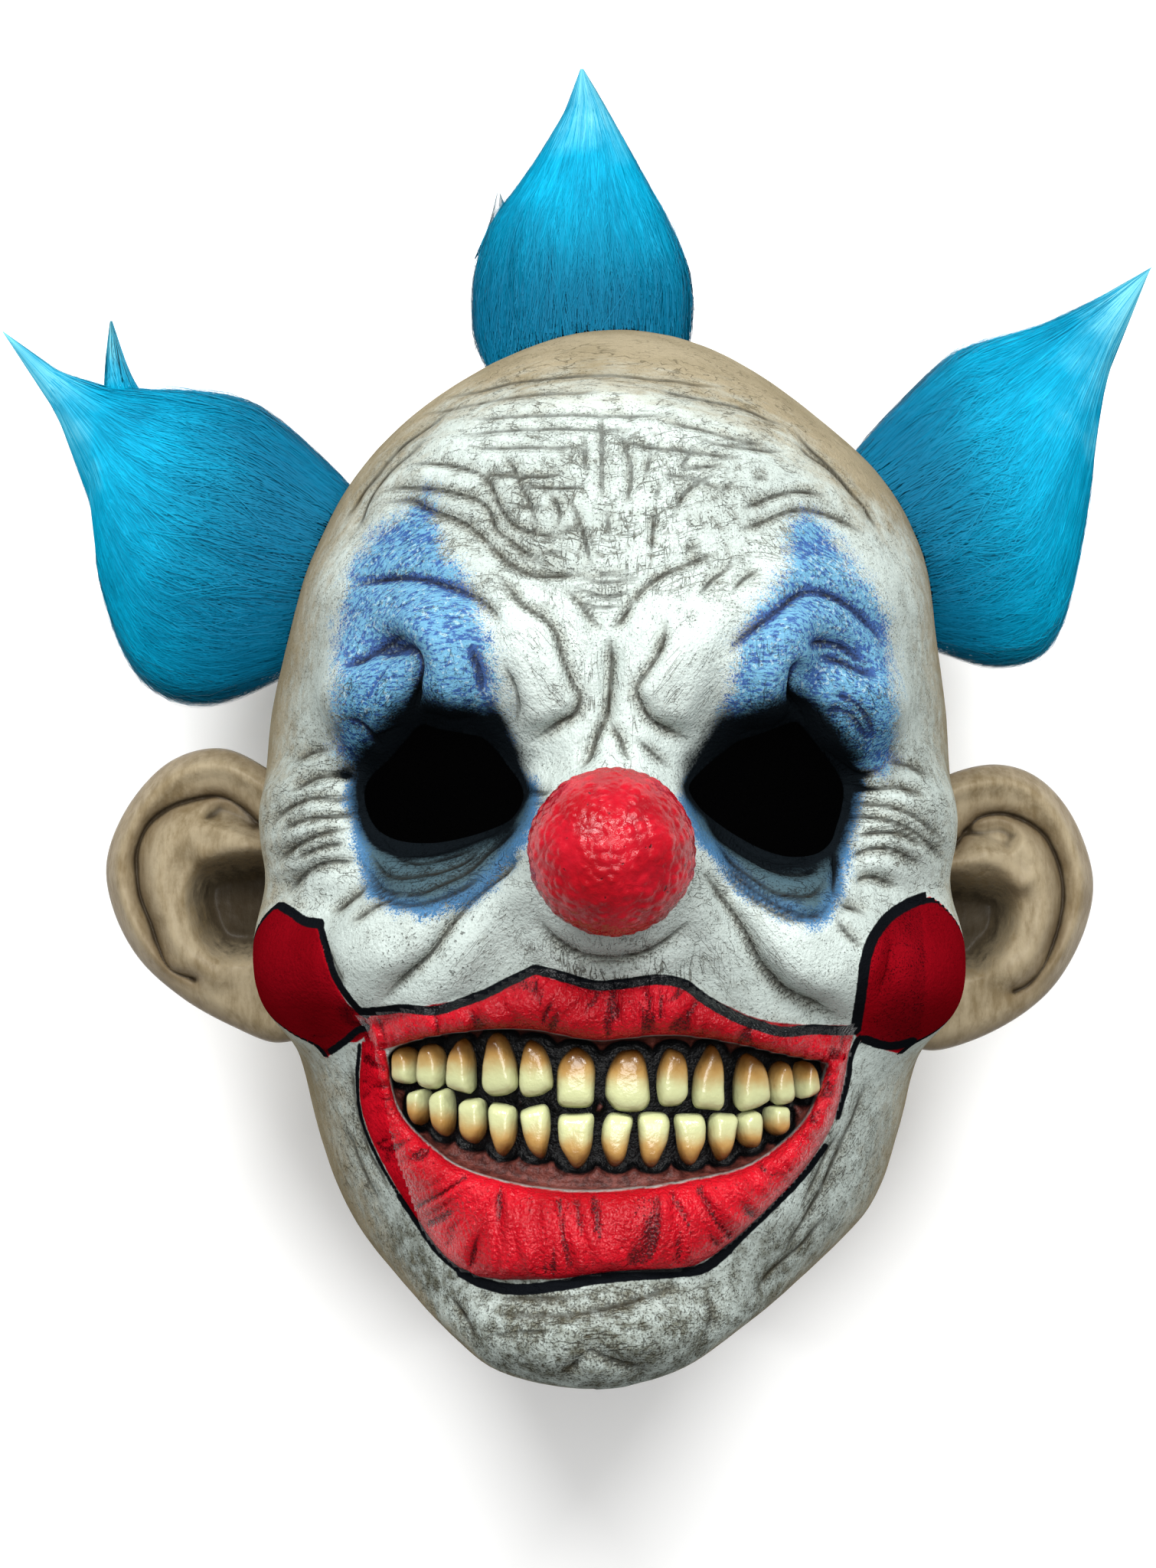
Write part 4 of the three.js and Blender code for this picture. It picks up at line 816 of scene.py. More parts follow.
for name, outlines in (("blue", BLUE_BROWS), ("bag", EYE_BAGS), ("cheek", CHEEK_ENDS)):
    fields[name] = face_field(skin, 30, either(outlines))
line = face_field(skin, 30, black_line_side)
from_middle = np.abs(skin[..., 1] - CHEEK_MIDDLE_Y)
behind = CHEEK_BACK_Z + np.minimum(CHEEK_BACK_CURVE * from_middle ** 2, CHEEK_BACK_MOST) - skin[..., 2]
line = np.where((behind > 0) & (from_middle < CHEEK_REACH), -30, line)
fields["line"] = np.where(fields["cheek"] > -1.0, np.maximum(line, LINE_HALF - np.abs(behind)), line)
fields["cheek"] = np.minimum(fields["cheek"], -behind)
fields.update(crease_fields, ink_side=ink_side, ink=ink_strength, flank=flank)
CONCAVITIES = (("hollow_fine", 2), ("hollow", 12), ("hollow_wide", 60))      # name, steps of blur
for name, steps in CONCAVITIES:
    fields[name] = concavity(skin, skin_ends, steps)

# %% Where the white fades into tan, and the black round the eyes
WHITE_TOP = np.array([(-100, 60), (-75, 72), (-55, 86), (-35, 94), (-10, 97.5), (10, 96), (30, 90.5), (45, 82),
                      (60, 68), (100, 50)])
# over zero where the head turns sideways, a little sooner on the right
side_turn = 0.45 - 0.07 * smoothstep(-10, 10, skin[..., 0]) - plain_normals[..., 2]
crown = skin[..., 1] - np.interp(skin[..., 0], WHITE_TOP[:, 0], WHITE_TOP[:, 1])
fields["tan"] = np.maximum(side_turn * 1.9, (crown + 8) / 26)
fields["inside"] = np.zeros(skin.shape[:2])
x, y = skin[..., 0], skin[..., 1]
# further out over the eyes than under them, where it is also painted shade under the brow lobes, and less at the
# nose
fields["eye_black"] = eye + 3.5 * smoothstep(1, 8, y) - 2.5 * smoothstep(27, 20, np.abs(x))
print({name: (round(float(f.min()), 1), round(float(f.max()), 1)) for name, f in fields.items()})


# %% Carry the fields over to the cut mesh
RIM_SHARE = 1.6           # a rim belongs to the outside up to this ratio of the two distances
INSIDE_VALUES = {"inside": 1.0, "tan": 2.0, "eye_black": 10.0}


def tree_of(points):
    tree = KDTree(len(points))
    for i, place in enumerate((points * MM).tolist()):
        tree.insert(place, i)
    tree.balance()
    return tree


def carry(piece, grid, ends, values, inner_points):
    """Each vertex takes the values of the nearest grid point, or those of the inside of the wall."""
    outside = np.vstack([grid.reshape(-1, 3), ends])
    trees = tree_of(outside), tree_of(inner_points)
    nearest = []
    for vertex in piece.data.vertices:
        (_, i, outer), (_, _, inner) = (tree.find(vertex.co) for tree in trees)
        nearest.append(i if outer < RIM_SHARE * inner else len(outside))
    for name, field in values.items():
        end_values = [field[0].mean(), field[-1].mean(), INSIDE_VALUES.get(name, field.min())]
        store(piece, name, np.append(field.ravel(), end_values)[nearest])


carry(mask_skin, skin, skin_ends, fields, cavity.reshape(-1, 3))
print("attributes:", len(mask_skin.data.attributes))

# %% [markdown]
# ## The nose
# The nose is a hollow latex ball, cast with the face. Its skin is pebbled like orange peel, as the clay was
# stippled with a rough sponge. An icosphere has even faces all round, so it takes this stipple well, with no
# poles. The pebbles are real relief, since they break the highlights.

# %% The pebbled ball
NOSE_AT, NOSE_RADIUS = Vector((0, -15.3, 251.0)), 19
PEBBLE = 2.8              # mm from pebble to pebble
PEBBLE_HEIGHT, SOFT_HEIGHT = 0.42, 0.35


def pebbles(place):
    near = noise.voronoi(place / PEBBLE)[0]
    soft = noise.noise(place / (PEBBLE * 2.4))
    return PEBBLE_HEIGHT * (min(1, 2.2 * (near[1] - near[0])) - 0.6) + SOFT_HEIGHT * soft


bpy.ops.mesh.primitive_ico_sphere_add(subdivisions=6, radius=1)
nose_ball = bpy.context.object
nose_ball.name = nose_ball.data.name = "nose_ball"
heights = []
for vertex in nose_ball.data.vertices:
    height = pebbles(vertex.co * NOSE_RADIUS)
    heights.append(height)
    vertex.co = (NOSE_AT + vertex.co.normalized() * (NOSE_RADIUS + height)) * MM
nose_ball.data.shade_smooth()
store(nose_ball, "hollow", -np.array(heights))
print("nose ball: %d faces" % len(nose_ball.data.polygons))

# %% [markdown]
# ## Teeth
# The teeth are part of the casting, but they were each painted as ivory with brown roots. They are closed
# domes with a squared outline that narrows to the root. One mesh holds them all, and each stands in the gum.

# %% Twenty-four teeth
TOOTH_SUNK, TOOTH_HALF_DEPTH, TOOTH_TAPER = 5.4, 3.6, 0.3
TOOTH_WIDER, TOOTH_TALLER = 0.95, 1.05          # than the places in the gums
TOOTH_SIDES, TOOTH_RINGS = 40, 9
TIP_SQUARED, ROOT_SQUARED = 0.62, 0.95          # under 1 squares the outline, 1 is an ellipse
DOME_POWER = 4.5                                # how flat the front is
TOOTH_TURN, TOOTH_SLOPE = 7, 5                  # most degrees that a tooth stands askew
tooth_rng = np.random.default_rng(3)


def face_height(x, y):
    return float(face_z(np.array(x), np.array(y)))


def one_tooth(x, width, top, bottom, root_up):
    """Points, faces and distance from the root (0) to the tip (1)."""
    width, tall = width * TOOTH_WIDER, (top - bottom) * TOOTH_TALLER
    angle = np.arange(TOOTH_SIDES) / TOOTH_SIDES * 2 * np.pi
    up, level = np.sin(angle), np.cos(angle)
    to_tip = -up if root_up else up
    squared = np.where(to_tip > 0, TIP_SQUARED, ROOT_SQUARED)
    narrow = 1 + TOOTH_TAPER * to_tip * (0.75 + 0.25 * to_tip)
    wobble = 1
    for size, waves in ((0.05, 3), (0.025, 5)):
        wobble = wobble + size * np.sin(waves * angle + tooth_rng.uniform(0, 6))
    ox = width / 2 * np.sign(level) * np.abs(level) ** squared * narrow * wobble
    oy = tall / 2 * np.sign(up) * np.abs(up) ** squared * wobble
    turn = math.radians(tooth_rng.uniform(-TOOTH_TURN, TOOTH_TURN))
    ox, oy = ox * math.cos(turn) - oy * math.sin(turn), ox * math.sin(turn) + oy * math.cos(turn)
    y = (top + bottom) / 2
    slope = math.atan((face_height(x + width / 2, y) - face_height(x - width / 2, y)) / width)
    slope += math.radians(tooth_rng.uniform(-TOOTH_SLOPE, TOOTH_SLOPE))
    rings = []                                  # from the middle of the back to near the middle of the front
    back, front = np.linspace(0.3, 0.9, 3), np.linspace(1, 0, TOOTH_RINGS, endpoint=False)
    for side, r in [(-1, r) for r in back] + [(1, r) for r in front]:
        dome = side * TOOTH_HALF_DEPTH * math.sqrt(max(0, 1 - r ** DOME_POWER))
        rings.append(np.stack([r * ox, r * oy, np.full_like(ox, dome)], axis=1))
    points = np.vstack(rings + [[[0, 0, TOOTH_HALF_DEPTH]], [[0, 0, -TOOTH_HALF_DEPTH]]])
    share = 0.5 + 0.5 * points[:, 1] / (tall / 2) * (-1 if root_up else 1)
    c, s = math.cos(slope), math.sin(slope)
    px, py, pz = points.T
    points = np.stack([px * c - pz * s, py, px * s + pz * c], axis=1)
    points += [x, y, face_height(x, y) - TOOTH_SUNK]
    n, last = TOOTH_SIDES, len(rings) - 1
    sides = [(k, (k + 1) % n) for k in range(n)]
    faces = [(i * n + a, i * n + b, (i + 1) * n + b, (i + 1) * n + a) for i in range(last) for a, b in sides]
    faces += [(last * n + a, last * n + b, len(points) - 2) for a, b in sides]
    faces += [(b, a, len(points) - 1) for a, b in sides]
    return points, faces, share


all_points, all_faces, to_tips = [], [], []
for row, root_up in ((UPPER_TEETH, True), (LOWER_TEETH, False)):
    for values in row:
        points, faces, share = one_tooth(*values, root_up)
        start = sum(len(p) for p in all_points)
        all_points.append(points)
        all_faces += [tuple(start + k for k in face) for face in faces]
        to_tips.append(share)
teeth = make_object("teeth", np.vstack(all_points), all_faces)
store(teeth, "to_tip", np.concatenate(to_tips))
print("teeth:", len(all_points))

# %% [markdown]
# ## Ears
# The ears are big cupped shells with a rolled rim, an inner fold and a deep bowl, left in the tan colour of the
# latex, with a dark wash and painted shade in the bowls. Each is a grid of rings from its outline to its middle,
# and the forms are heights over the rings, so the rim follows the outline by itself.

# %% Cupped ears with rim, fold and bowl
EAR_Z = 98
EARS = {
    "ear_left": {
        "side": -1, "middle": (-98, -27),
        "outline": [(-84, 2), (-98, 9), (-112, 6), (-123, -5), (-129, -19), (-127.5, -32), (-120.5, -45),
                    (-109, -55), (-96, -62), (-84, -66), (-75, -61), (-71, -42), (-71, -22), (-75, -6)],
        "groove": [(-88, -11), (-94, -5.5), (-99.8, -3.2), (-108.8, -4.8), (-114.9, -7.8), (-118.5, -11.5),
                   (-120.6, -16.6), (-120.9, -21.4), (-120, -28.6), (-117.3, -35.3), (-115.2, -41.3),
                   (-111.9, -47.3), (-105.8, -50)],
        "fold": [(-92, -14), (-102, -12), (-110, -15), (-114, -22), (-113.5, -30), (-111, -38), (-107, -44),
                 (-101, -48)],
        "crus": [(-86, -16), (-95, -16.5), (-103, -18)],
        "bowl": [(-85, -19), (-93.8, -18.6), (-100, -19.5), (-105.8, -22.6), (-107.6, -28.6), (-106.4, -34.7),
                 (-103.4, -41.3), (-98.6, -44.9), (-91.4, -45.5), (-82, -44), (-79, -30)],
        "upper_bowl": [(-99.8, -4.5), (-94, -6), (-89, -10), (-90, -12.5), (-96.2, -11), (-103, -9)],
    },
    "ear_right": {
        "side": 1, "middle": (95, -30),
        "outline": [(84, 1), (98, 5), (110, 2), (119.5, -8), (125, -23), (123.5, -36), (117, -49), (108, -58),
                    (95, -65), (82, -68), (75, -63), (71, -44), (71, -22), (75, -7)],
        "groove": [(88, -16), (90.4, -13.3), (94.6, -8.8), (100.6, -7.6), (106.6, -9.4), (111.4, -12.7),
                   (114.4, -17.5), (116.2, -22.9), (116.8, -28.9), (115.9, -35), (114.1, -41), (111.4, -47),
                   (107.8, -51.2), (104.2, -53)],
        "fold": [(97, -16), (104, -15.5), (109, -20), (111.5, -28), (111, -36), (108, -43), (103, -48)],
        "crus": [(86, -20), (92.2, -19.6), (99.4, -20.8), (105.4, -25)],
        "bowl": [(84, -24), (95.2, -24.1), (101.2, -25.6), (104.2, -29), (104.8, -33.8), (103, -39.8),
                 (99.4, -44.6), (94, -48.8), (84, -48), (80, -36)],
        "upper_bowl": [(91, -12.5), (95, -10.5), (101, -10), (105, -13), (102.4, -17.2), (96, -15.5)],
    },
}
EAR_HALF_THICKNESS, EAR_LEAN = 6, 0.3
EAR_RINGS, EAR_STEPS = 72, 14
EAR_ROOT = 0.7            # mm that an ear reaches into the wall
RIM_HIGH, GROOVE_DEEP, FOLD_HIGH, CRUS_HIGH = 4.2, 4.2, 3.6, 3.2
BOWL_DEEP, UPPER_BOWL_DEEP, BOWL_BACK = 11, 4.5, 5.5


def ear_heights(r, x, y, ear):
    """Front and back of an ear over its rest plane, from the distances to its drawn lines."""
    edge = EAR_Z - EAR_LEAN * ear["side"] * (x - ear["middle"][0])
    fade = np.sqrt(np.maximum(0, 1 - r ** 5))
    outline = smooth_line(ear["outline"], closed=True)
    from_edge = to_line(x, y, outline, closed=True)[0]
    lobe = smoothstep(-44, -54, y)
    rim = RIM_HIGH * np.exp(-((from_edge - 3.8) / 2.9) ** 2) * (1 - 0.75 * lobe)
    groove = -GROOVE_DEEP * np.exp(-to_line(x, y, smooth_line(ear["groove"]))[0] / 1.5)
    fold = FOLD_HIGH * np.exp(-(to_line(x, y, smooth_line(ear["fold"]))[0] / 4.6) ** 2)
    crus = CRUS_HIGH * np.exp(-(to_line(x, y, smooth_line(ear["crus"]))[0] / 3.0) ** 2)
    bowl = BOWL_DEEP * smoothstep(-1.5, 7, signed_distance(x, y, ear["bowl"]))
    bowl = bowl + UPPER_BOWL_DEEP * smoothstep(-1.5, 2.5, signed_distance(x, y, ear["upper_bowl"]))
    warp = 0.35 * lattice_noise(x / 7, y / 7, 8) + 0.18 * lattice_noise(x / 3, y / 3, 9)
    front = edge + fade * (EAR_HALF_THICKNESS + rim + groove + fold + crus - bowl + warp)
    back = edge - fade * (EAR_HALF_THICKNESS + BOWL_BACK * smoothstep(-4, 12, signed_distance(x, y, ear["bowl"])))
    return front, back


def make_ear(name, ear):
    middle = ear["middle"]
    line = smooth_line(ear["outline"], closed=True, steps=EAR_STEPS)
    r = np.linspace(1, 0.012, EAR_RINGS)[:, None] ** 0.8
    x = middle[0] + r * (line[:, 0] - middle[0])
    y = middle[1] + r * (line[:, 1] - middle[1])
    front, back = ear_heights(r, x, y, ear)
    behind = slice(EAR_RINGS - 1, 0, -3)
    grid = np.concatenate([np.stack([x[behind], y[behind], back[behind]], -1), np.stack([x, y, front], -1)])
    ends = [np.array([*middle, grid[0, :, 2].mean()]), np.array([*middle, grid[-1, :, 2].mean()])]
    rooted = grid.copy()                          # the root ends inside the wall of the head
    head_middle, head_half = section_at(grid[..., 1])[:2]
    wall = np.maximum(ear["side"] * (grid[..., 0] - head_middle), head_half - EAR_ROOT)
    rooted[..., 0] = head_middle + ear["side"] * wall
    piece = from_grid(name, rooted, ends)
    x, y = grid[..., 0], grid[..., 1]
    from_rim = to_line(x, y, smooth_line(ear["outline"], closed=True), closed=True)[0]
    from_groove = to_line(x, y, smooth_line(ear["groove"]))[0]
    # painted shadow under the crus, brown in the groove from the wash, and darker towards the edge of the rim
    crus_shadow = to_line(x, y + 3, smooth_line(ear["crus"]))[0]
    stains_and_shadow = np.maximum(0.75 * np.exp(-(from_groove / 3.2) ** 2), 0.6 * smoothstep(5, 0, from_rim))
    values = {"stains_and_shadow": np.maximum(stains_and_shadow, 0.6 * np.exp(-(crus_shadow / 3.0) ** 2))}
    sign = 1 if np.median(grid_normals(grid, ends)[-20:, :, 2]) > 0 else -1
    for field, steps in CONCAVITIES:
        values[field] = sign * concavity(grid, ends, steps)
    for field, value in values.items():
        store(piece, field, np.concatenate([value.ravel(), value[0, :1], value[-1, :1]]))
    store(piece, "bowl", np.append(signed_distance(x, y, ear["bowl"]), [10, 10]))
    return piece


ears = [make_ear(name, ear) for name, ear in EARS.items()]
print("ears:", [len(ear.data.polygons) for ear in ears])

# %% [markdown]
# ## Materials
# Everything rigid on the mask is paint on latex, so the materials share one way of working: a base coat, paint
# areas cut from the distances, and darkening in the hollows, partly a wash of dark pigment and partly painted
# shade. One function turns hex to linear and one adds a node, so each material reads as a list of layers.

# %% Helpers for materials
def linear(code):
    """sRGB hex to a linear colour with alpha."""
    values = [int(code[i:i + 2], 16) / 255 for i in (1, 3, 5)]
    return (*[v / 12.92 if v <= 0.04045 else ((v + 0.055) / 1.055) ** 2.4 for v in values], 1.0)


def add(tree, kind, inputs=(), out=0, **settings):
    """Adds a node with its settings and links, and gives back one of its outputs."""
    node = tree.nodes.new("ShaderNode" + kind)
    for key, value in settings.items():
        setattr(node, key, value)
    for key, value in inputs.items() if isinstance(inputs, dict) else enumerate(inputs):
        if isinstance(value, bpy.types.NodeSocket):
            tree.links.new(value, node.inputs[key])
        else:
            node.inputs[key].default_value = value
    return node.outputs[out] if len(node.outputs) else node


def new_material(name):
    """An empty material, its node tree and the place on the object in metres."""
    material = bpy.data.materials.new(name)
    material.use_nodes = True
    material.node_tree.nodes.clear()
    return material, material.node_tree, add(material.node_tree, "TexCoord", out=3)


# settings of nodes. A Map Range node takes: value, from, from, to, to. A Mix node takes: 0 share, 6, 7 colours
SMOOTH = {"interpolation_type": "SMOOTHSTEP"}
COLOUR = {"out": 2, "data_type": "RGBA"}
VALUE = {"out": 2}                                  # the single value of an Attribute node
PLUS, MINUS, TIMES, TIMES_PLUS, LARGER, SIZE = (
    {"operation": name} for name in ("ADD", "SUBTRACT", "MULTIPLY", "MULTIPLY_ADD", "MAXIMUM", "ABSOLUTE"))

# %% [markdown]
# ## Painted latex
# Natural latex with acrylic paint, sprayed and brushed, then wiped with a thin black-brown wash. It gives the
# eye a chalky white skin with a soft sheen, dirt in each furrow, painted shade in the wider hollows, on the chin
# and under the brows, wet red lips where enamel was brushed on, and bare tan latex at the sides. IOR of rubber is
# 1.52. The layers follow the order in which the painter worked: each is a function that takes the colour so far
# and gives back the colour with its own paint on top.

# %% Grains of noise, the fields on the mesh, creases and furrows
GRAINS = {"soft": (22, 4, 0.5), "patch": (6, 4, 0.6), "fine": (2.2, 4, 0.6), "speck": (0.5, 3, 0.6),
          "pore": (1.0, 1, 0.5)}                    # size in millimetres, detail, roughness
FIELDS = ("tan", "blue", "bag", "cheek", "lip", "lip_furrow", "mouth", "gum", "line", "inside", "eye_black",
          "ink_side", "ink", "flank", "hollow_fine", "hollow", "hollow_wide", "arc", "grime", "pitted",
          *CREASE_PATCHES)
CREASE_ANGLES = {"steep": 90, "rising": 52, "falling": -52}
CREASE_PITCH = 2.3         # mm between fine creases
CREASE_STRETCH = 0.16      # a fine crease is this much as wide as it is long


def latex_masks(t, place):
    """Noise and fields by name, which the layers share."""
    m = SimpleNamespace(place=place)
    for name, (size, detail, rough) in GRAINS.items():
        setattr(m, name, add(t, "TexNoise", {"Vector": place, "Scale": 1 / (size * MM), "Detail": detail,
                                             "Roughness": rough}))
    for name in FIELDS:
        setattr(m, name, add(t, "Attribute", attribute_name=name, **VALUE))
    m.ragged = add(t, "Math", [m.fine, 0.5, -0.25], **TIMES_PLUS)       # millimetres that a brushed edge wavers
    m.mottle = add(t, "Math", [m.speck, add(t, "Math", [m.patch, 0.6, -0.3], **TIMES_PLUS)], **PLUS)
    return m


def fine_creases(t, m):
    """Creases lie where stretched noise passes its middle value. The level ones follow arcs over the brows."""
    split = add(t, "SeparateXYZ", [m.place]).node.outputs
    m.bowed = add(t, "CombineXYZ", [split[0], add(t, "Math", [m.arc, MM], **TIMES), split[2]])
    creases = 0.0
    for name in CREASE_PATCHES:
        turned = m.bowed if name == "level" else add(
            t, "Mapping", {"Vector": m.place, "Rotation": (0, 0, -math.radians(CREASE_ANGLES[name]))})
        stretched = add(t, "Mapping", {"Vector": turned, "Scale": (CREASE_STRETCH, 1, 0.5)})
        value = add(t, "TexNoise", {"Vector": stretched, "Scale": 1 / (CREASE_PITCH * MM), "Detail": 2.0,
                                    "Roughness": 0.55, "Distortion": 0.15})
        away = add(t, "Math", [add(t, "Math", [value, 0.5], **MINUS)], **SIZE)
        crease = add(t, "MapRange", [away, 0.004, 0.028, 1.0, 0.0], **SMOOTH)
        crease = add(t, "Math", [crease, getattr(m, name)], **TIMES)
        creases = add(t, "Math", [creases, crease], **LARGER)
    broken = add(t, "MapRange", [m.patch, 0.4, 0.6, 0.15, 1.0], **SMOOTH)
    m.creases = add(t, "Math", [creases, broken], **TIMES)
    m.marks = add(t, "Math", [m.flank, m.creases], **LARGER)


def dark_furrows(t, m):
    """The thin dark bottom of each drawn wrinkle, fainter in places."""
    side = add(t, "Math", [add(t, "Math", [m.ink_side], **SIZE), m.ragged], **PLUS)
    furrow = add(t, "MapRange", [side, 0.15, 0.72, 1.0, 0.0], **SMOOTH)
    furrow = add(t, "Math", [furrow, m.ink], **TIMES)
    faint = add(t, "MapRange", [m.patch, 0.3, 0.55, 0.65, 1.0], **SMOOTH)
    m.furrow = add(t, "Math", [furrow, faint], **TIMES)


# %% Base coats and the first stain
def base_coats(t, m):
    """White paint, darkened in patches by soiling and by painted shade, that fades into the bare tan latex on top
    and at the sides.
    """
    tone = add(t, "MapRange", [m.soft, 0.3, 0.7], **SMOOTH)
    white = add(t, "Mix", {0: tone, 6: linear("#AAB4AF"), 7: linear("#B9C4BF")}, **COLOUR)
    # darker in the patches: grime, and painted shade on the chin, the jaw sides, the temples and under the brow
    # lobes
    grimed_and_shaded = add(t, "MapRange", [add(t, "Math", [m.patch, m.fine], **PLUS), 0.75, 1.25, 0.3, 1.0], **SMOOTH)
    grimed_and_shaded = add(t, "Math", [grimed_and_shaded, m.grime], **TIMES)
    white = add(t, "Mix", {0: grimed_and_shaded, 6: white, 7: linear("#5A5C51")}, **COLOUR)
    tone = add(t, "MapRange", [m.soft, 0.35, 0.65], **SMOOTH)
    tan = add(t, "Mix", {0: tone, 6: linear("#80765F"), 7: linear("#8E846D")}, **COLOUR)
    streaks = add(t, "TexNoise", {"Vector": add(t, "Mapping", {"Vector": m.place, "Scale": (0.35, 1, 1)}),
                                  "Scale": 1 / (4 * MM), "Detail": 5.0, "Roughness": 0.7})
    edge = add(t, "Math", [m.tan, add(t, "Math", [streaks, 0.9, -0.45], **TIMES_PLUS)], **PLUS)
    bare = add(t, "MapRange", [edge, -0.15, 0.6], **SMOOTH)
    return add(t, "Mix", {0: bare, 6: white, 7: tan}, **COLOUR)


def beige_stain(t, m, colour):
    """What the wash left round the wrinkles."""
    stained = add(t, "Math", [m.marks, 0.6, add(t, "Math", [m.patch, 0.5, -0.12], **TIMES_PLUS)], **TIMES_PLUS)
    stained = add(t, "Math", [stained, add(t, "MapRange", [m.fine, 0.3, 0.7, 0.4, 1.0])], **TIMES)
    share = add(t, "MapRange", [stained, 0.1, 0.9, 0.0, 0.62])
    return add(t, "Mix", {0: share, 6: colour, 7: linear("#7C745C")}, **COLOUR)


# %% Blue brows and slate blue bags under the eyes
def blue_brows(t, m, colour):
    """Two blues stippled over the white, the deep one in short strokes and in the hollows."""
    streaks = add(t, "TexNoise", {"Vector": add(t, "Mapping", {"Vector": m.bowed, "Scale": (0.3, 1, 1)}),
                                  "Scale": 1 / (0.9 * MM), "Detail": 4.0, "Roughness": 0.7})
    sunk = add(t, "MapRange", [m.hollow_fine, -0.05, 0.2, -0.04, 0.18])
    deep = add(t, "MapRange", [add(t, "Math", [streaks, sunk], **PLUS), 0.44, 0.55], **SMOOTH)
    blue = add(t, "Mix", {0: deep, 6: linear("#528AA8"), 7: linear("#083F80")}, **COLOUR)
    worn = add(t, "Math", [m.pore, add(t, "Math", [m.patch, 0.5], **TIMES)], **PLUS)
    flecks = add(t, "MapRange", [worn, 0.84, 0.95, 0.0, 0.6], **SMOOTH)
    blue = add(t, "Mix", {0: flecks, 6: blue, 7: linear("#9FBBC4")}, **COLOUR)
    cover = add(t, "Math", [add(t, "Math", [m.blue, 0.055, 0.46], **TIMES_PLUS), m.mottle], **MINUS)
    cover = add(t, "MapRange", [cover, -0.1, 0.14, 0.0, 0.92], **SMOOTH)
    return add(t, "Mix", {0: cover, 6: colour, 7: blue}, **COLOUR)


def eye_bags(t, m, colour):
    """Slate blue with a brighter blue edge."""
    cover = add(t, "Math", [add(t, "Math", [m.bag, 0.1, 0.45], **TIMES_PLUS), m.mottle], **MINUS)
    slate = add(t, "MapRange", [cover, 0.05, 0.55], **SMOOTH)
    bag = add(t, "Mix", {0: slate, 6: linear("#2F6490"), 7: linear("#2E4853")}, **COLOUR)
    cover = add(t, "MapRange", [cover, -0.12, 0.12, 0.0, 0.95], **SMOOTH)
    return add(t, "Mix", {0: cover, 6: colour, 7: bag}, **COLOUR)


# %% The dark wash with painted shade in the hollows, and black round the eyes
def dark_wash_and_shade(t, m, colour):
    """Soft brown from the wash in fine hollows and beside furrows, painted shade in the wider ones; specks where
    the wash caught, and near black in the furrows.
    """
    dirt_and_shade = 0.0
    # the fine hollows and the flanks of the furrows hold the wash; the deeper, wider hollows get painted shade
    for field, low, high, most in ((m.hollow_fine, 0.05, 0.45, 0.4), (m.hollow, 0.7, 3.0, 0.32),
                                   (m.hollow_wide, 2.5, 8.0, 0.18), (m.flank, 0.0, 1.0, 0.32)):
        dirt_and_shade = add(t, "Math", [dirt_and_shade, add(t, "MapRange", [field, low, high, 0.0, most])], **LARGER)
    dirt_and_shade = add(t, "Math", [dirt_and_shade, add(t, "MapRange", [m.fine, 0.3, 0.7, 0.35, 0.85])], **TIMES)
    colour = add(t, "Mix", {0: dirt_and_shade, 6: colour, 7: linear("#3E3729")}, **COLOUR)
    caught = m.speck
    for field, share in ((m.marks, 0.13), (m.patch, 0.22), (m.grime, 0.07)):
        caught = add(t, "Math", [field, share, caught], **TIMES_PLUS)
    specks = add(t, "MapRange", [caught, 0.69, 0.82, 0.0, 0.72], **SMOOTH)
    pits = add(t, "Math", [m.pitted, 0.14, m.pore], **TIMES_PLUS)
    pits = add(t, "MapRange", [pits, 0.72, 0.82, 0.0, 0.7], **SMOOTH)
    fewer_on_tan = add(t, "MapRange", [m.tan, 0.1, 0.8, 1.0, 0.3])
    m.specks = add(t, "Math", [add(t, "Math", [specks, pits], **LARGER), fewer_on_tan], **TIMES)
    dark = m.specks
    for mask, share in ((m.creases, 0.7), (m.furrow, 0.97)):
        dark = add(t, "Math", [dark, add(t, "Math", [mask, share], **TIMES)], **LARGER)
    return add(t, "Mix", {0: dark, 6: colour, 7: linear("#1E1911")}, **COLOUR)


def black_round_eyes(t, m, colour):
    """Airbrushed black, and painted shade where it reaches further out in the hollows and over the eyes."""
    near = add(t, "Math", [m.eye_black, add(t, "MapRange", [m.hollow, 0.0, 1.0, 0.0, 4.5])], **PLUS)
    near = add(t, "Math", [near, add(t, "Math", [m.mottle, 4.0, -2.0], **TIMES_PLUS)], **PLUS)
    share = add(t, "MapRange", [near, -6.5, -1.0], **SMOOTH)
    return add(t, "Mix", {0: share, 6: colour, 7: linear("#0C1013")}, **COLOUR)


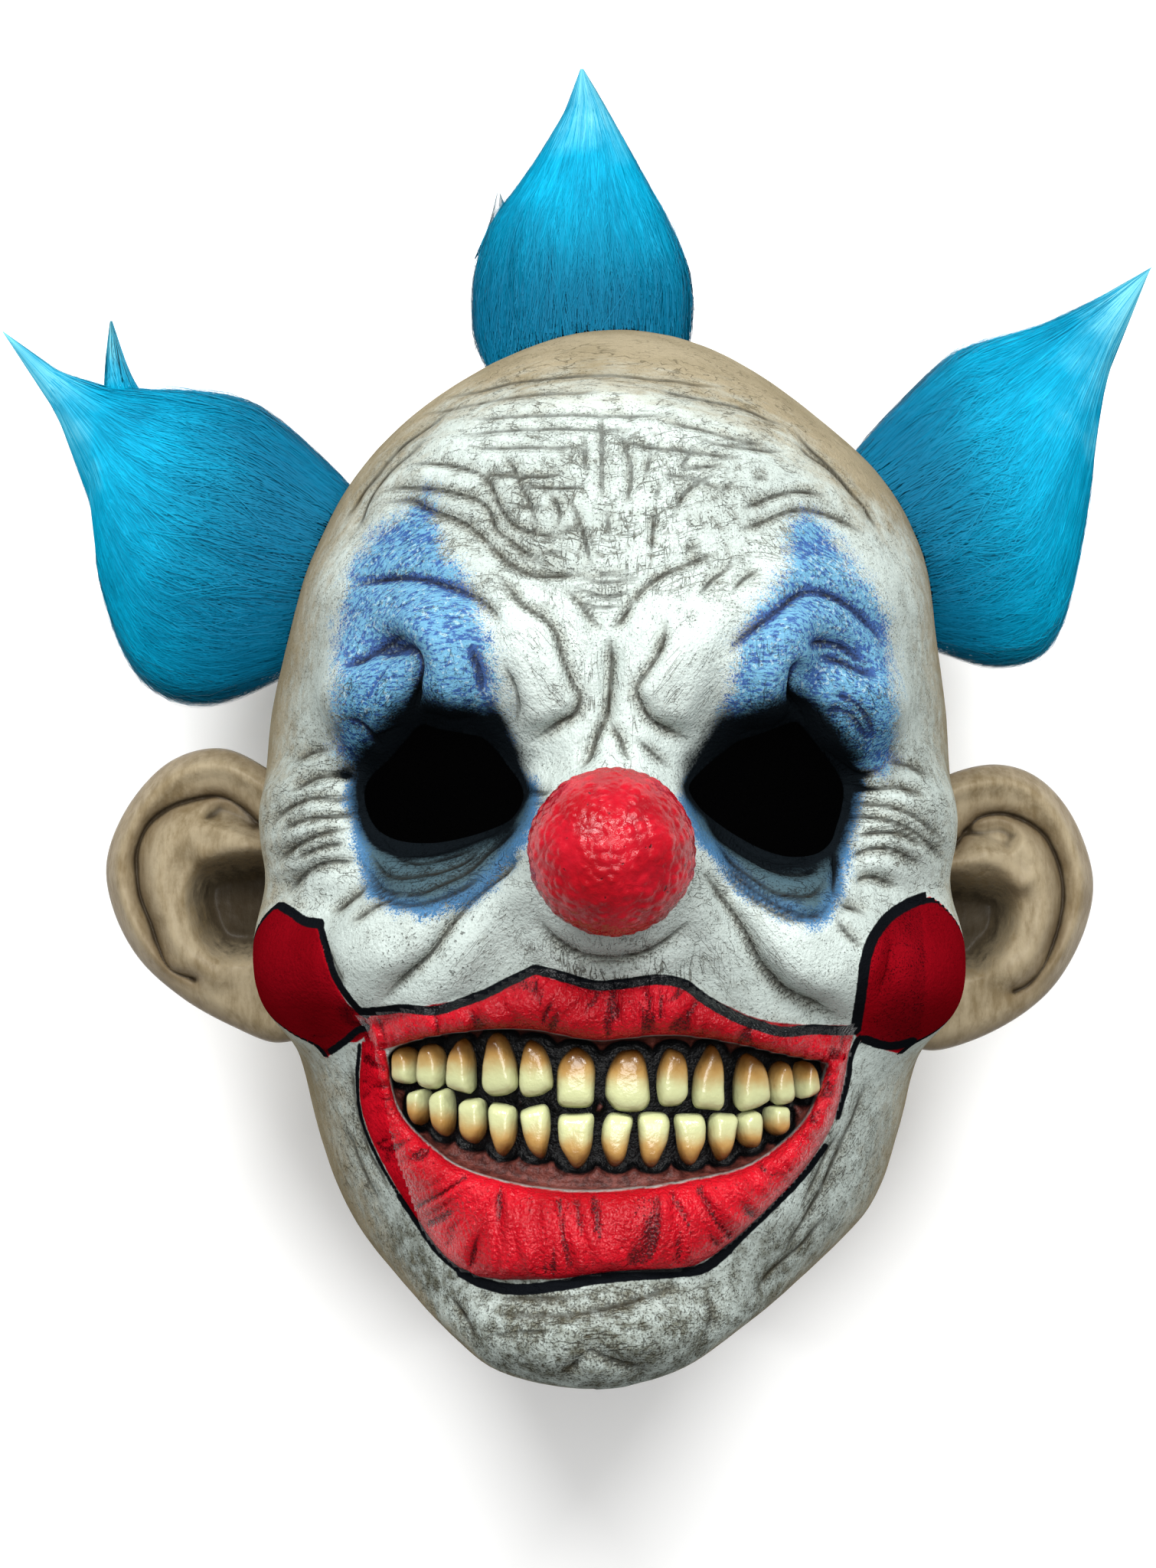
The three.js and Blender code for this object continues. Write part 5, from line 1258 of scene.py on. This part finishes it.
# %% Red of the lips and cheeks
def brushed_red(t, m, colour):
    """Darker where the cheeks turn to the sides, which is painted shade, with the wash in the folds of the lips
    and painted shade in the hollows.
    """
    area = add(t, "Math", [add(t, "Math", [m.cheek, 0.7], **PLUS), m.lip], **LARGER)
    m.red_area = add(t, "MapRange", [add(t, "Math", [area, m.ragged], **PLUS), -0.2, 0.2], **SMOOTH)
    tone = add(t, "MapRange", [m.soft, 0.3, 0.7], **SMOOTH)
    red = add(t, "Mix", {0: tone, 6: linear("#960714"), 7: linear("#B80F20")}, **COLOUR)
    # painted shade: the cheeks go darker red where the head turns to the sides, away from the light
    turned = add(t, "MapRange", [m.tan, -0.9, -0.1, 0.15, 0.85], **SMOOTH)
    turned = add(t, "Math", [turned, add(t, "MapRange", [m.cheek, -1.0, 0.5], **SMOOTH)], **TIMES)
    red = add(t, "Mix", {0: turned, 6: red, 7: linear("#560309")}, **COLOUR)
    # the wash in the folds of the lips, and painted shade in the hollows
    dirt_and_shade = add(t, "Math", [add(t, "MapRange", [m.lip_furrow, 0.1, 0.9, 0.0, 0.55], **SMOOTH),
                           add(t, "MapRange", [m.hollow, 0.1, 1.2, 0.0, 0.7])], **LARGER)
    specks = add(t, "Math", [m.patch, 0.25, m.speck], **TIMES_PLUS)
    specks = add(t, "Math", [m.lip_furrow, 0.2, specks], **TIMES_PLUS)
    specks = add(t, "MapRange", [specks, 0.77, 0.83, 0.0, 0.92], **SMOOTH)
    dirt_and_shade = add(t, "Math", [dirt_and_shade, specks], **LARGER)
    red = add(t, "Mix", {0: dirt_and_shade, 6: red, 7: linear("#2E0509")}, **COLOUR)
    return add(t, "Mix", {0: m.red_area, 6: colour, 7: red}, **COLOUR)


# %% Gums, black lines and the dark inside
def gums_and_lines(t, m, colour):
    """Flesh with black round each tooth, then the brushed black lines, then the near black latex of the inside,
    which also stands in for the shade inside the head.
    """
    m.in_mouth = add(t, "Math", [add(t, "MapRange", [m.mouth, -0.1, 0.5], **SMOOTH),
                                 add(t, "MapRange", [m.lip, -0.4, 0.2, 1.0, 0.0], **SMOOTH)], **TIMES)
    tone = add(t, "MapRange", [m.fine, 0.35, 0.65], **SMOOTH)
    gum = add(t, "Mix", {0: tone, 6: linear("#3A1A16"), 7: linear("#5E2F28")}, **COLOUR)
    on_gum = add(t, "MapRange", [add(t, "Math", [m.gum, m.ragged], **PLUS), 0.1, 0.7], **SMOOTH)
    gum = add(t, "Mix", {0: on_gum, 6: linear("#07080A"), 7: gum}, **COLOUR)
    colour = add(t, "Mix", {0: m.in_mouth, 6: colour, 7: gum}, **COLOUR)
    m.black = add(t, "MapRange", [add(t, "Math", [m.line, m.ragged], **PLUS), -0.15, 0.15], **SMOOTH)
    colour = add(t, "Mix", {0: m.black, 6: colour, 7: linear("#0D0F12")}, **COLOUR)
    # painted shade: the inside is near black, which stands for the shade inside the head as well as for its latex
    inside = add(t, "MapRange", [m.inside, 0.4, 0.6], **SMOOTH)
    return add(t, "Mix", {0: inside, 6: colour, 7: linear("#1B1B1C")}, **COLOUR)


# %% Gloss, and relief finer than the mesh
def gloss(t, m):
    """Roughness: chalky on the white, smoother on enamel and smoothest on the lips."""
    enamel = add(t, "Math", [add(t, "Math", [m.red_area, m.in_mouth], **LARGER), m.black], **LARGER)
    rough = add(t, "MapRange", [enamel, 0.0, 1.0, 0.6, 0.4])
    rough = add(t, "Math", [rough, m.on_lip], **MINUS)
    return add(t, "Math", [rough, add(t, "Math", [m.fine, 0.2, -0.1], **TIMES_PLUS)], **PLUS)


def fine_relief(t, m):
    """The height of the grain, the pores, the creases and the specks."""
    height = add(t, "Math", [m.speck, 0.15], **TIMES)
    wet_pores = add(t, "Math", [m.on_lip, m.pore], **TIMES)
    for mask, share in ((m.fine, 0.45), (m.pore, 0.3), (m.creases, -0.5), (wet_pores, 1.3), (m.furrow, -0.7),
                        (m.specks, -0.15)):
        height = add(t, "Math", [mask, share, height], **TIMES_PLUS)
    return height


# %% Painted latex of the head, matt and wet
ENAMEL_TURN = -0.3         # the enamel is matt beyond this value of the tan field, towards the sides
ENAMEL_MARGIN = 0.6        # mm that the wet enamel reaches past the lips and the mouth


def painted_latex(name, specular_level):
    material, t, place = new_material(name)
    m = latex_masks(t, place)
    fine_creases(t, m)
    dark_furrows(t, m)
    colour = base_coats(t, m)
    for layer in (beige_stain, blue_brows, eye_bags, dark_wash_and_shade, black_round_eyes, brushed_red, gums_and_lines):
        colour = layer(t, m, colour)
    m.on_lip = add(t, "MapRange", [m.lip, -0.2, 0.6, 0.0, 0.28], **SMOOTH)
    bump = add(t, "Bump", {"Height": fine_relief(t, m), "Strength": 0.9, "Distance": 1.0 * MM})
    shader = add(t, "BsdfPrincipled", {"Base Color": colour, "Roughness": gloss(t, m), "Normal": bump,
                                       "IOR": 1.52, "Specular IOR Level": specular_level})
    add(t, "OutputMaterial", {"Surface": shader})
    return material


mask_skin.data.materials.clear()
mask_skin.data.materials.append(painted_latex("painted_latex", 0.0))
mask_skin.data.materials.append(painted_latex("wet_enamel", 0.18))
stored = {name: np.zeros(len(mask_skin.data.vertices), np.float32) for name in ("tan", "lip", "mouth")}
for name, values in stored.items():
    mask_skin.data.attributes[name].data.foreach_get("value", values)
wet = (np.maximum(stored["lip"], stored["mouth"]) > -ENAMEL_MARGIN) & (stored["tan"] < ENAMEL_TURN)
mask_skin.data.polygons.foreach_set(
    "material_index", [int(wet[list(polygon.vertices)].min()) for polygon in mask_skin.data.polygons])
print("painted latex: %d nodes" % len(mask_skin.data.materials[0].node_tree.nodes))

# %% [markdown]
# ## Red enamel of the nose
# Acrylic enamel brushed over the latex ball. It gives the eye a deep red with small bright highlights on the
# pebbles, and darker red in the dents between them, which is painted shade. The pebbles are already in the mesh,
# so the material only adds that painted shade in the dents, a few dark pits and the unevenness of the brush.

# %% Red enamel
def red_enamel():
    material, t, place = new_material("red_enamel")
    soft, fine, pits = (add(t, "TexNoise", {"Vector": place, "Scale": 1 / (size * MM), "Detail": 3.0})
                        for size in (9, 1.3, 1.9))
    hollow = add(t, "Attribute", attribute_name="hollow", **VALUE)
    tone = add(t, "MapRange", [soft, 0.3, 0.7], **SMOOTH)
    red = add(t, "Mix", {0: tone, 6: linear("#8C0713"), 7: linear("#A31020")}, **COLOUR)
    # painted shade: darker red in the dents between the pebbles
    dent_shade = add(t, "MapRange", [hollow, 0.0, 0.3, 0.0, 0.35], **SMOOTH)
    red = add(t, "Mix", {0: dent_shade, 6: red, 7: linear("#5E0712")}, **COLOUR)
    pit = add(t, "MapRange", [pits, 0.69, 0.74, 0.0, 0.8], **SMOOTH)
    red = add(t, "Mix", {0: pit, 6: red, 7: linear("#240306")}, **COLOUR)
    bump = add(t, "Bump", {"Height": add(t, "Math", [pit, -0.5, fine], **TIMES_PLUS), "Strength": 0.5,
                           "Distance": 0.5 * MM})
    rough = add(t, "MapRange", [fine, 0.3, 0.7, 0.16, 0.32], **SMOOTH)
    shader = add(t, "BsdfPrincipled", {"Base Color": red, "Roughness": rough, "Normal": bump, "IOR": 1.52,
                                       "Specular IOR Level": 0.18})
    add(t, "OutputMaterial", {"Surface": shader})
    return material


nose_ball.data.materials.append(red_enamel())
print("red enamel on the nose")

# %% [markdown]
# ## Ivory paint of the teeth
# Cream acrylic with a brown glaze at the roots, under clear gloss. It gives the eye old, stained teeth that
# shine. The glaze follows the share from root to tip that each tooth carries, so it needs no image.

# %% Ivory paint
def ivory_paint():
    material, t, place = new_material("ivory_paint")
    soft, fine = (add(t, "TexNoise", {"Vector": place, "Scale": 1 / (size * MM), "Detail": 3.0})
                  for size in (5, 1.2))
    to_tip = add(t, "Attribute", attribute_name="to_tip", **VALUE)
    tip = add(t, "Math", [to_tip, add(t, "Math", [soft, 0.4, -0.2], **TIMES_PLUS)], **PLUS)
    root = add(t, "MapRange", [tip, 0.02, 0.42], **SMOOTH)
    colour = add(t, "Mix", {0: root, 6: linear("#55300E"), 7: linear("#A27E45")}, **COLOUR)
    crown_share = add(t, "MapRange", [tip, 0.3, 0.75], **SMOOTH)
    colour = add(t, "Mix", {0: crown_share, 6: colour, 7: linear("#B6BA8C")}, **COLOUR)
    bump = add(t, "Bump", {"Height": add(t, "Math", [soft, fine], **PLUS), "Strength": 0.3, "Distance": 0.5 * MM})
    shader = add(t, "BsdfPrincipled", {"Base Color": colour, "Roughness": 0.22, "Normal": bump, "IOR": 1.5})
    add(t, "OutputMaterial", {"Surface": shader})
    return material


teeth.data.materials.append(ivory_paint())
print("ivory paint on the teeth")

# %% [markdown]
# ## Tan latex of the ears
# The ears were left in the tan colour of the latex and stained by the wash. That gives the eye a warm matt skin,
# streaked along the ear, with brown in the grooves, darker towards the rim's edge, painted shadow under the crus,
# and near black in the bowls and hollows, partly the wash and partly painted shade.

# %% Tan latex
def tan_latex():
    material, t, place = new_material("tan_latex")
    soft, fine = (add(t, "TexNoise", {"Vector": place, "Scale": 1 / (size * MM), "Detail": 4.0})
                  for size in (12, 2))
    streaks = add(t, "TexNoise", {"Vector": add(t, "Mapping", {"Vector": place, "Scale": (1.0, 0.3, 1.0)}),
                                  "Scale": 1 / (2.5 * MM), "Detail": 4.0, "Roughness": 0.65})
    fine_hollow, hollow, wide, bowl, stains_and_shadow = (
        add(t, "Attribute", attribute_name=name, **VALUE)
        for name in ("hollow_fine", "hollow", "hollow_wide", "bowl", "stains_and_shadow"))
    tone = add(t, "Math", [add(t, "Math", [soft, streaks], **PLUS), 0.5], **TIMES)
    tone = add(t, "MapRange", [tone, 0.32, 0.62], **SMOOTH)
    colour = add(t, "Mix", {0: tone, 6: linear("#74654A"), 7: linear("#9C8F75")}, **COLOUR)
    # brown in the groove and towards the rim's edge, and painted shadow under the crus
    brown = add(t, "Math", [stains_and_shadow, add(t, "MapRange", [soft, 0.35, 0.65, 0.45, 1.0])], **TIMES)
    colour = add(t, "Mix", {0: brown, 6: colour, 7: linear("#4A361C")}, **COLOUR)
    # near black in the bowls and hollows: partly the wash, partly painted shade
    in_bowl = add(t, "Math", [bowl, add(t, "Math", [streaks, 8.0, -4.0], **TIMES_PLUS)], **PLUS)
    wash = 0.0
    for field, low, high, most in ((hollow, 0.02, 0.9, 0.85), (fine_hollow, 0.02, 0.25, 0.75),
                                   (wide, 0.5, 4.0, 0.6), (in_bowl, -1.5, 6.0, 0.9)):
        wash = add(t, "Math", [wash, add(t, "MapRange", [field, low, high, 0.0, most], **SMOOTH)], **LARGER)
    colour = add(t, "Mix", {0: wash, 6: colour, 7: linear("#1D150C")}, **COLOUR)
    bump = add(t, "Bump", {"Height": add(t, "Math", [fine, streaks], **PLUS), "Strength": 0.4,
                           "Distance": 0.5 * MM})
    shader = add(t, "BsdfPrincipled", {"Base Color": colour, "Roughness": 0.42, "Normal": bump, "IOR": 1.52,
                                       "Specular IOR Level": 0.1})
    add(t, "OutputMaterial", {"Surface": shader})
    return material


bare_latex = tan_latex()
for ear in ears:
    ear.data.materials.append(bare_latex)
print("tan latex on the ears")

# %% [markdown]
# ## Tufts of fur
# Each tuft is a strip of long acrylic fur, combed and twisted to a point. Blender's hair curves would be the
# usual way, but the piece has to be a mesh, so every strand is a narrow ribbon that runs over a teardrop body.
# The body gives the depth behind the strands, and the strands give the soft edge and the comb lines.

# %% Teardrop bodies and strands
TUFT_Z, TUFT_THICKNESS = 98, 0.68       # height of the middle, and thickness for the width
GLUE_GAP = 0.6                          # between a tuft and the skin under it
# piece, left and right side from root to tip, the same two sides of a small side point
TUFTS = [
    ("hair_tuft_top",
     [(-26, 98), (-34, 112), (-34.5, 129), (-30, 143), (-23, 153), (-15.5, 164), (-10, 174), (-7, 183)],
     [(12, 98), (20.5, 110), (21.5, 128), (16, 143), (10.5, 153), (4.5, 164), (-1, 174), (-6.2, 183)],
     ([(-34.3, 134), (-30.5, 143), (-28.3, 151.4)], [(-25, 146), (-26, 147.5), (-27.6, 151.4)])),
    ("hair_tuft_left",
     [(-60, 70), (-71, 82), (-89, 97), (-105, 100.5), (-120, 101), (-132, 102), (-143, 107), (-155, 116)],
     [(-64, 38), (-83, 27), (-103, 20), (-120, 27.5), (-130, 52), (-132, 77), (-143, 98), (-154.4, 115)],
     ([(-129, 100), (-128.5, 109), (-127.4, 118.5)], [(-118, 98), (-122.5, 106), (-126.8, 118.5)])),
    ("hair_tuft_right",
     [(56, 76), (66, 89), (84, 107), (94, 112.5), (110, 117), (126, 124.5), (139.4, 132.4)],
     [(60, 44), (84, 34), (101, 30), (115, 38), (123, 72), (126, 100), (138.8, 131.6)],
     ([(122, 104), (127.5, 113), (133.4, 121.5)], [(125, 98), (129, 110.5), (134, 121)])),
]
STRANDS, STRAND_POINTS = 16500, 6
STRAND_WIDTH = 0.27
CLUMPS = 6                # how finely the strands gather into locks round a tuft
SOFT_LIGHT = 0.7          # turns the shading of fur to its broad side, because light soaks through it
STRAY_SHARE = 0.06        # strands of the small side point, for each strand of the rest
BODY_SHARE = 0.91         # size of the body inside the strands
WANDER = 0.22             # unevenness of the shading from strand to strand


def tuft_place(left, right, u, angle, swell=1.0):
    """Points on the teardrop at share u from the root to the tip, and angle round the section."""
    k = np.linspace(0, 1, len(left))
    a = np.stack([np.interp(u, k, left[:, i]) for i in (0, 1)], -1)
    b = np.stack([np.interp(u, k, right[:, i]) for i in (0, 1)], -1)
    share = 0.5 - 0.5 * np.cos(angle) * swell
    width = np.hypot(*np.moveaxis(b - a, -1, 0))
    z = TUFT_Z + 0.5 * width * TUFT_THICKNESS * np.sin(angle) * swell
    return np.concatenate([a + share[..., None] * (b - a), z[..., None]], -1)


def in_head(p):
    """Whether places lie under the skin of the head."""
    middle, half, front, back, square = section_at(np.clip(p[..., 1], FIRST_Y, LAST_Y))
    widest = back + WIDEST_SHARE * (front - back)
    depth = np.where(p[..., 2] > widest, front - widest, widest - back)
    size = (np.abs(p[..., 0] - middle) / np.maximum(half, 1e-3)) ** square
    size += (np.abs(p[..., 2] - widest) / np.maximum(depth, 1e-3)) ** square
    return (size < 1) & (p[..., 1] < 115)


def strand_paths(left, right, count, rng):
    """Paths [strand, point, xyz] from the skin or the body, their shares along the tuft, and their locks."""
    angle = rng.uniform(0, 2 * np.pi, count)
    last = 79
    under = in_head(tuft_place(left, right, *np.meshgrid(np.linspace(0, 1, last + 1), angle)))
    leave = np.where(under.any(1), last - np.argmax(under[:, ::-1], 1), 0) / last
    begin = leave + (1 - leave) * rng.uniform(0, 0.82, count) ** 1.5
    begin = np.minimum(begin, 0.93)
    end = np.minimum(1, begin + rng.uniform(0.22, 0.55, count))
    end = np.where(rng.random(count) < 0.3, 1.0, end)
    t = np.linspace(0, 1, STRAND_POINTS)
    u = begin[:, None] + (end - begin)[:, None] * t
    drift = rng.normal(0, 0.16, count)[:, None] * t + 0.05 * np.sin(6 * t + rng.uniform(0, 6, count)[:, None])
    clump = lattice_noise(CLUMPS * np.cos(angle), CLUMPS * np.sin(angle), 41)
    lift = 0.965 + rng.uniform(0, 0.03, count)[:, None] + rng.exponential(0.02, count)[:, None] * t ** 2
    lift = lift + 0.035 * clump[:, None]
    return tuft_place(left, right, u, angle[:, None] + drift, lift), u, clump


def ribbons(paths, width):
    """Flat ribbons along the paths that lie on the tuft's surface."""
    tangent = np.gradient(paths, axis=1)
    outward = paths - paths.mean(axis=(0, 1))
    outward[..., :2] *= 0.5
    side = np.cross(tangent, outward)
    side /= np.maximum(np.linalg.norm(side, axis=2, keepdims=True), 1e-9)
    half = width[..., None] / 2 * side
    points = np.stack([paths - half, paths + half], axis=2).reshape(-1, 3)
    strands, steps = paths.shape[:2]
    base = (np.arange(strands) * steps * 2)[:, None] + np.arange(steps - 1) * 2
    faces = np.stack([base, base + 1, base + 3, base + 2], -1).reshape(-1, 4)
    return points, faces.tolist()


def tuft_body(name, left, right):
    """Points and faces of the teardrop that carries the strands, cut off at the skin."""
    u, angle = np.linspace(0.0, 0.985, 90)[:, None], np.linspace(0, 2 * np.pi, 72, endpoint=False)[None]
    body = tuft_place(left, right, u * np.ones_like(angle), angle * np.ones_like(u), BODY_SHARE)
    piece = from_grid(name, body, [body[0].mean(0), body[-1].mean(0)])
    head, head_ends = head_grid(*COARSE[:4], 10)
    head, _ = push_out(head, head_ends, lambda g, n: mound_height(g[..., 0],
                                                                  g[..., 1]) * face_share(n) + GLUE_GAP)
    cut(piece, from_grid("cutter", head, head_ends))
    points = np.array([v.co for v in piece.data.vertices]) / MM
    faces = [list(p.vertices) for p in piece.data.polygons]
    bpy.data.objects.remove(piece)
    return points, faces


def make_tuft(name, left_points, right_points, stray, seed):
    rng = np.random.default_rng(seed)
    left, right = smooth_line(left_points, steps=8), smooth_line(right_points, steps=8)
    body_points, body_faces = tuft_body(name, left, right)
    count = len(body_points)
    paths, along, clump = strand_paths(left, right, STRANDS, rng)
    side_lines = (smooth_line(line, steps=8) for line in stray)
    stray_paths, stray_along, stray_clump = strand_paths(*side_lines, int(STRANDS * STRAY_SHARE), rng)
    paths = np.concatenate([paths, stray_paths])
    along = np.concatenate([along, 0.7 + 0.3 * stray_along])
    taper = 1 - np.linspace(0, 1, STRAND_POINTS) ** 3 * 0.85
    strand_points, faces = ribbons(paths, STRAND_WIDTH * rng.uniform(0.6, 1.3, len(paths))[:, None] * taper)
    tint = 0.55 * rng.random(len(paths)) + 0.45 * np.clip(0.5 + 0.7 * np.concatenate([clump, stray_clump]), 0, 1)
    place = np.vstack([body_points, strand_points])
    made = make_object(name + "_made", place, body_faces + [[k + count for k in face] for face in faces])
    k, middle = np.linspace(0, 1, len(left)), (left + right) / 2
    body_along = [k[np.argmin(np.hypot(*(middle - p[:2]).T))] for p in body_points]
    along = np.concatenate([body_along, np.repeat(along.ravel(), 2)])
    store(made, "along", along)
    # the body is tinted darker than most strands, which is painted shade in the depth of the tuft
    store(made, "tint", np.concatenate([np.full(count, 0.3), np.repeat(tint, STRAND_POINTS * 2)]))
    # the shading looks away from the tuft's middle line, unevenly, and more to the broad side
    core = np.stack([*(np.interp(along, k, middle[:, i]) for i in (0, 1)), np.full(len(place), float(TUFT_Z))],
                    -1)
    facing = (place - core) / [1, 1, TUFT_THICKNESS ** 2]
    facing /= np.maximum(np.linalg.norm(facing, axis=1, keepdims=True), 1e-6)
    facing[count:] += np.repeat(rng.normal(0, WANDER, (len(paths), 3)), STRAND_POINTS * 2, axis=0)
    facing[:, 2] += SOFT_LIGHT * np.tanh(2.5 * facing[:, 2])
    facing /= np.linalg.norm(facing, axis=1, keepdims=True)
    made.data.normals_split_custom_set_from_vertices(facing.tolist())
    made.name = made.data.name = name.replace("hair", "fur")
    return made, name


tufts = [make_tuft(*values, seed) for seed, values in enumerate(TUFTS)]
print("faces per tuft:", [len(tuft.data.polygons) for tuft, _ in tufts])

# %% [markdown]
# ## Acrylic fur
# Dyed modacrylic fibre: turquoise, smooth and a little shiny along the strand, deeper blue towards the root
# where the strands shade each other, and pale at the thinned tips where the light comes through.

# %% Acrylic fur
def acrylic_fur():
    material, t, place = new_material("acrylic_fur")
    soft = add(t, "TexNoise", {"Vector": place, "Scale": 1 / (14 * MM), "Detail": 4.0})
    along, tint = (add(t, "Attribute", attribute_name=name, **VALUE) for name in ("along", "tint"))
    tone = add(t, "Math", [tint, 0.6, add(t, "Math", [soft, 0.9, -0.25], **TIMES_PLUS)], **TIMES_PLUS)
    colour = add(t, "Mix", {0: tone, 6: linear("#00688A"), 7: linear("#00A4CA")}, **COLOUR)
    root = add(t, "MapRange", [along, 0.56, 0.2, 0.0, 0.9], **SMOOTH)
    colour = add(t, "Mix", {0: root, 6: colour, 7: linear("#014E6C")}, **COLOUR)
    thin = add(t, "MapRange", [add(t, "Math", [soft, 0.5, along], **TIMES_PLUS), 0.9, 1.25, 0.0, 0.85], **SMOOTH)
    thin = add(t, "Math", [thin, add(t, "MapRange", [tint, 0.4, 0.8, 0.08, 1.0], **SMOOTH)], **TIMES)
    colour = add(t, "Mix", {0: thin, 6: colour, 7: linear("#7CC4CE")}, **COLOUR)
    shader = add(t, "BsdfPrincipled", {"Base Color": colour, "Roughness": 0.55, "IOR": 1.49,
                                       "Specular IOR Level": 0.06})
    add(t, "OutputMaterial", {"Surface": shader})
    return material


fur = acrylic_fur()
for tuft, _ in tufts:
    tuft.data.materials.append(fur)

# %% [markdown]
# ## Each piece in its place
# The measured model has one solid for the casting and one for each tuft. The casting is shown by five meshes,
# which keeps each of them light, and each tuft by one.

# %% Hang each piece on the body, and hide the measured part that it stands for
for piece in (mask_skin, nose_ball, teeth, *ears):
    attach(piece, "root")
    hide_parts("mask_shell")
for tuft, node_name in tufts:
    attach(tuft, "root")
    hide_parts(node_name)

# %% [markdown]
# ## Floor, light and camera
# A product photograph of a mask is lit by big soft boxes above and beside it, on white. The mask lies face
# up, so the camera looks straight down and the light comes from the crown's side. The floor is white
# painted board with a trace of grain.

# %% White floor
FLOOR_HALF = 20.0         # metres
corner = FLOOR_HALF / MM
floor = make_object("floor", [(-corner, -corner, 0), (corner, -corner, 0), (corner, corner, 0),
                              (-corner, corner, 0)],
                    [(0, 1, 2, 3)], smooth=False)
board, t, place = new_material("opal_acrylic")
cloudy = add(t, "TexNoise", {"Vector": place, "Scale": 16.0, "Detail": 2.0})
paint = add(t, "Mix", {0: cloudy, 6: linear("#F4F4F3"), 7: linear("#F9F9F8")}, **COLOUR)
add(t, "OutputMaterial", {"Surface": add(t, "BsdfPrincipled", {
    "Base Color": paint, "Roughness": 0.7, "Emission Color": linear("#FFFFFF"), "Emission Strength": 0.12})})
floor.data.materials.append(board)

# %% Soft boxes, sky and camera
TARGET = Vector((0, 0, 0.15))
# place in metres, size, watts
SOFT_BOXES = [((-0.38, 0.66, 0.95), 0.32, 11), ((0.42, 0.6, 0.95), 0.32, 9.5), ((0, 0.2, 1.9), 0.8, 21)]
for place, size, watts in SOFT_BOXES:
    lamp = bpy.data.lights.new("soft_box", "AREA")
    lamp.size, lamp.energy = size, watts
    box = bpy.data.objects.new("soft_box", lamp)
    box.location = place
    box.rotation_euler = (TARGET - Vector(place)).to_track_quat("-Z", "Y").to_euler()
    bpy.context.scene.collection.objects.link(box)

world = bpy.data.worlds.new("studio")
world.use_nodes = True
world.node_tree.nodes["Background"].inputs["Color"].default_value = linear("#FFFFFF")
world.node_tree.nodes["Background"].inputs["Strength"].default_value = 0.22
bpy.context.scene.world = world
bpy.context.scene.view_settings.view_transform = "Standard"

CAMERA_AT = Vector((-0.0076, 0, 1.39))
METRES_PER_PIXEL = 1.5167e-4          # per metre of distance, from the eye line and both ears
camera_data = bpy.data.cameras.new("camera")
camera_data.sensor_fit = "VERTICAL"
camera_data.sensor_height = 36
camera_data.lens = 36 / (2048 * METRES_PER_PIXEL)
camera = bpy.data.objects.new("camera", camera_data)
camera.location = CAMERA_AT
bpy.context.scene.collection.objects.link(camera)
bpy.context.scene.camera = camera
print("lens: %.1f mm" % camera_data.lens)
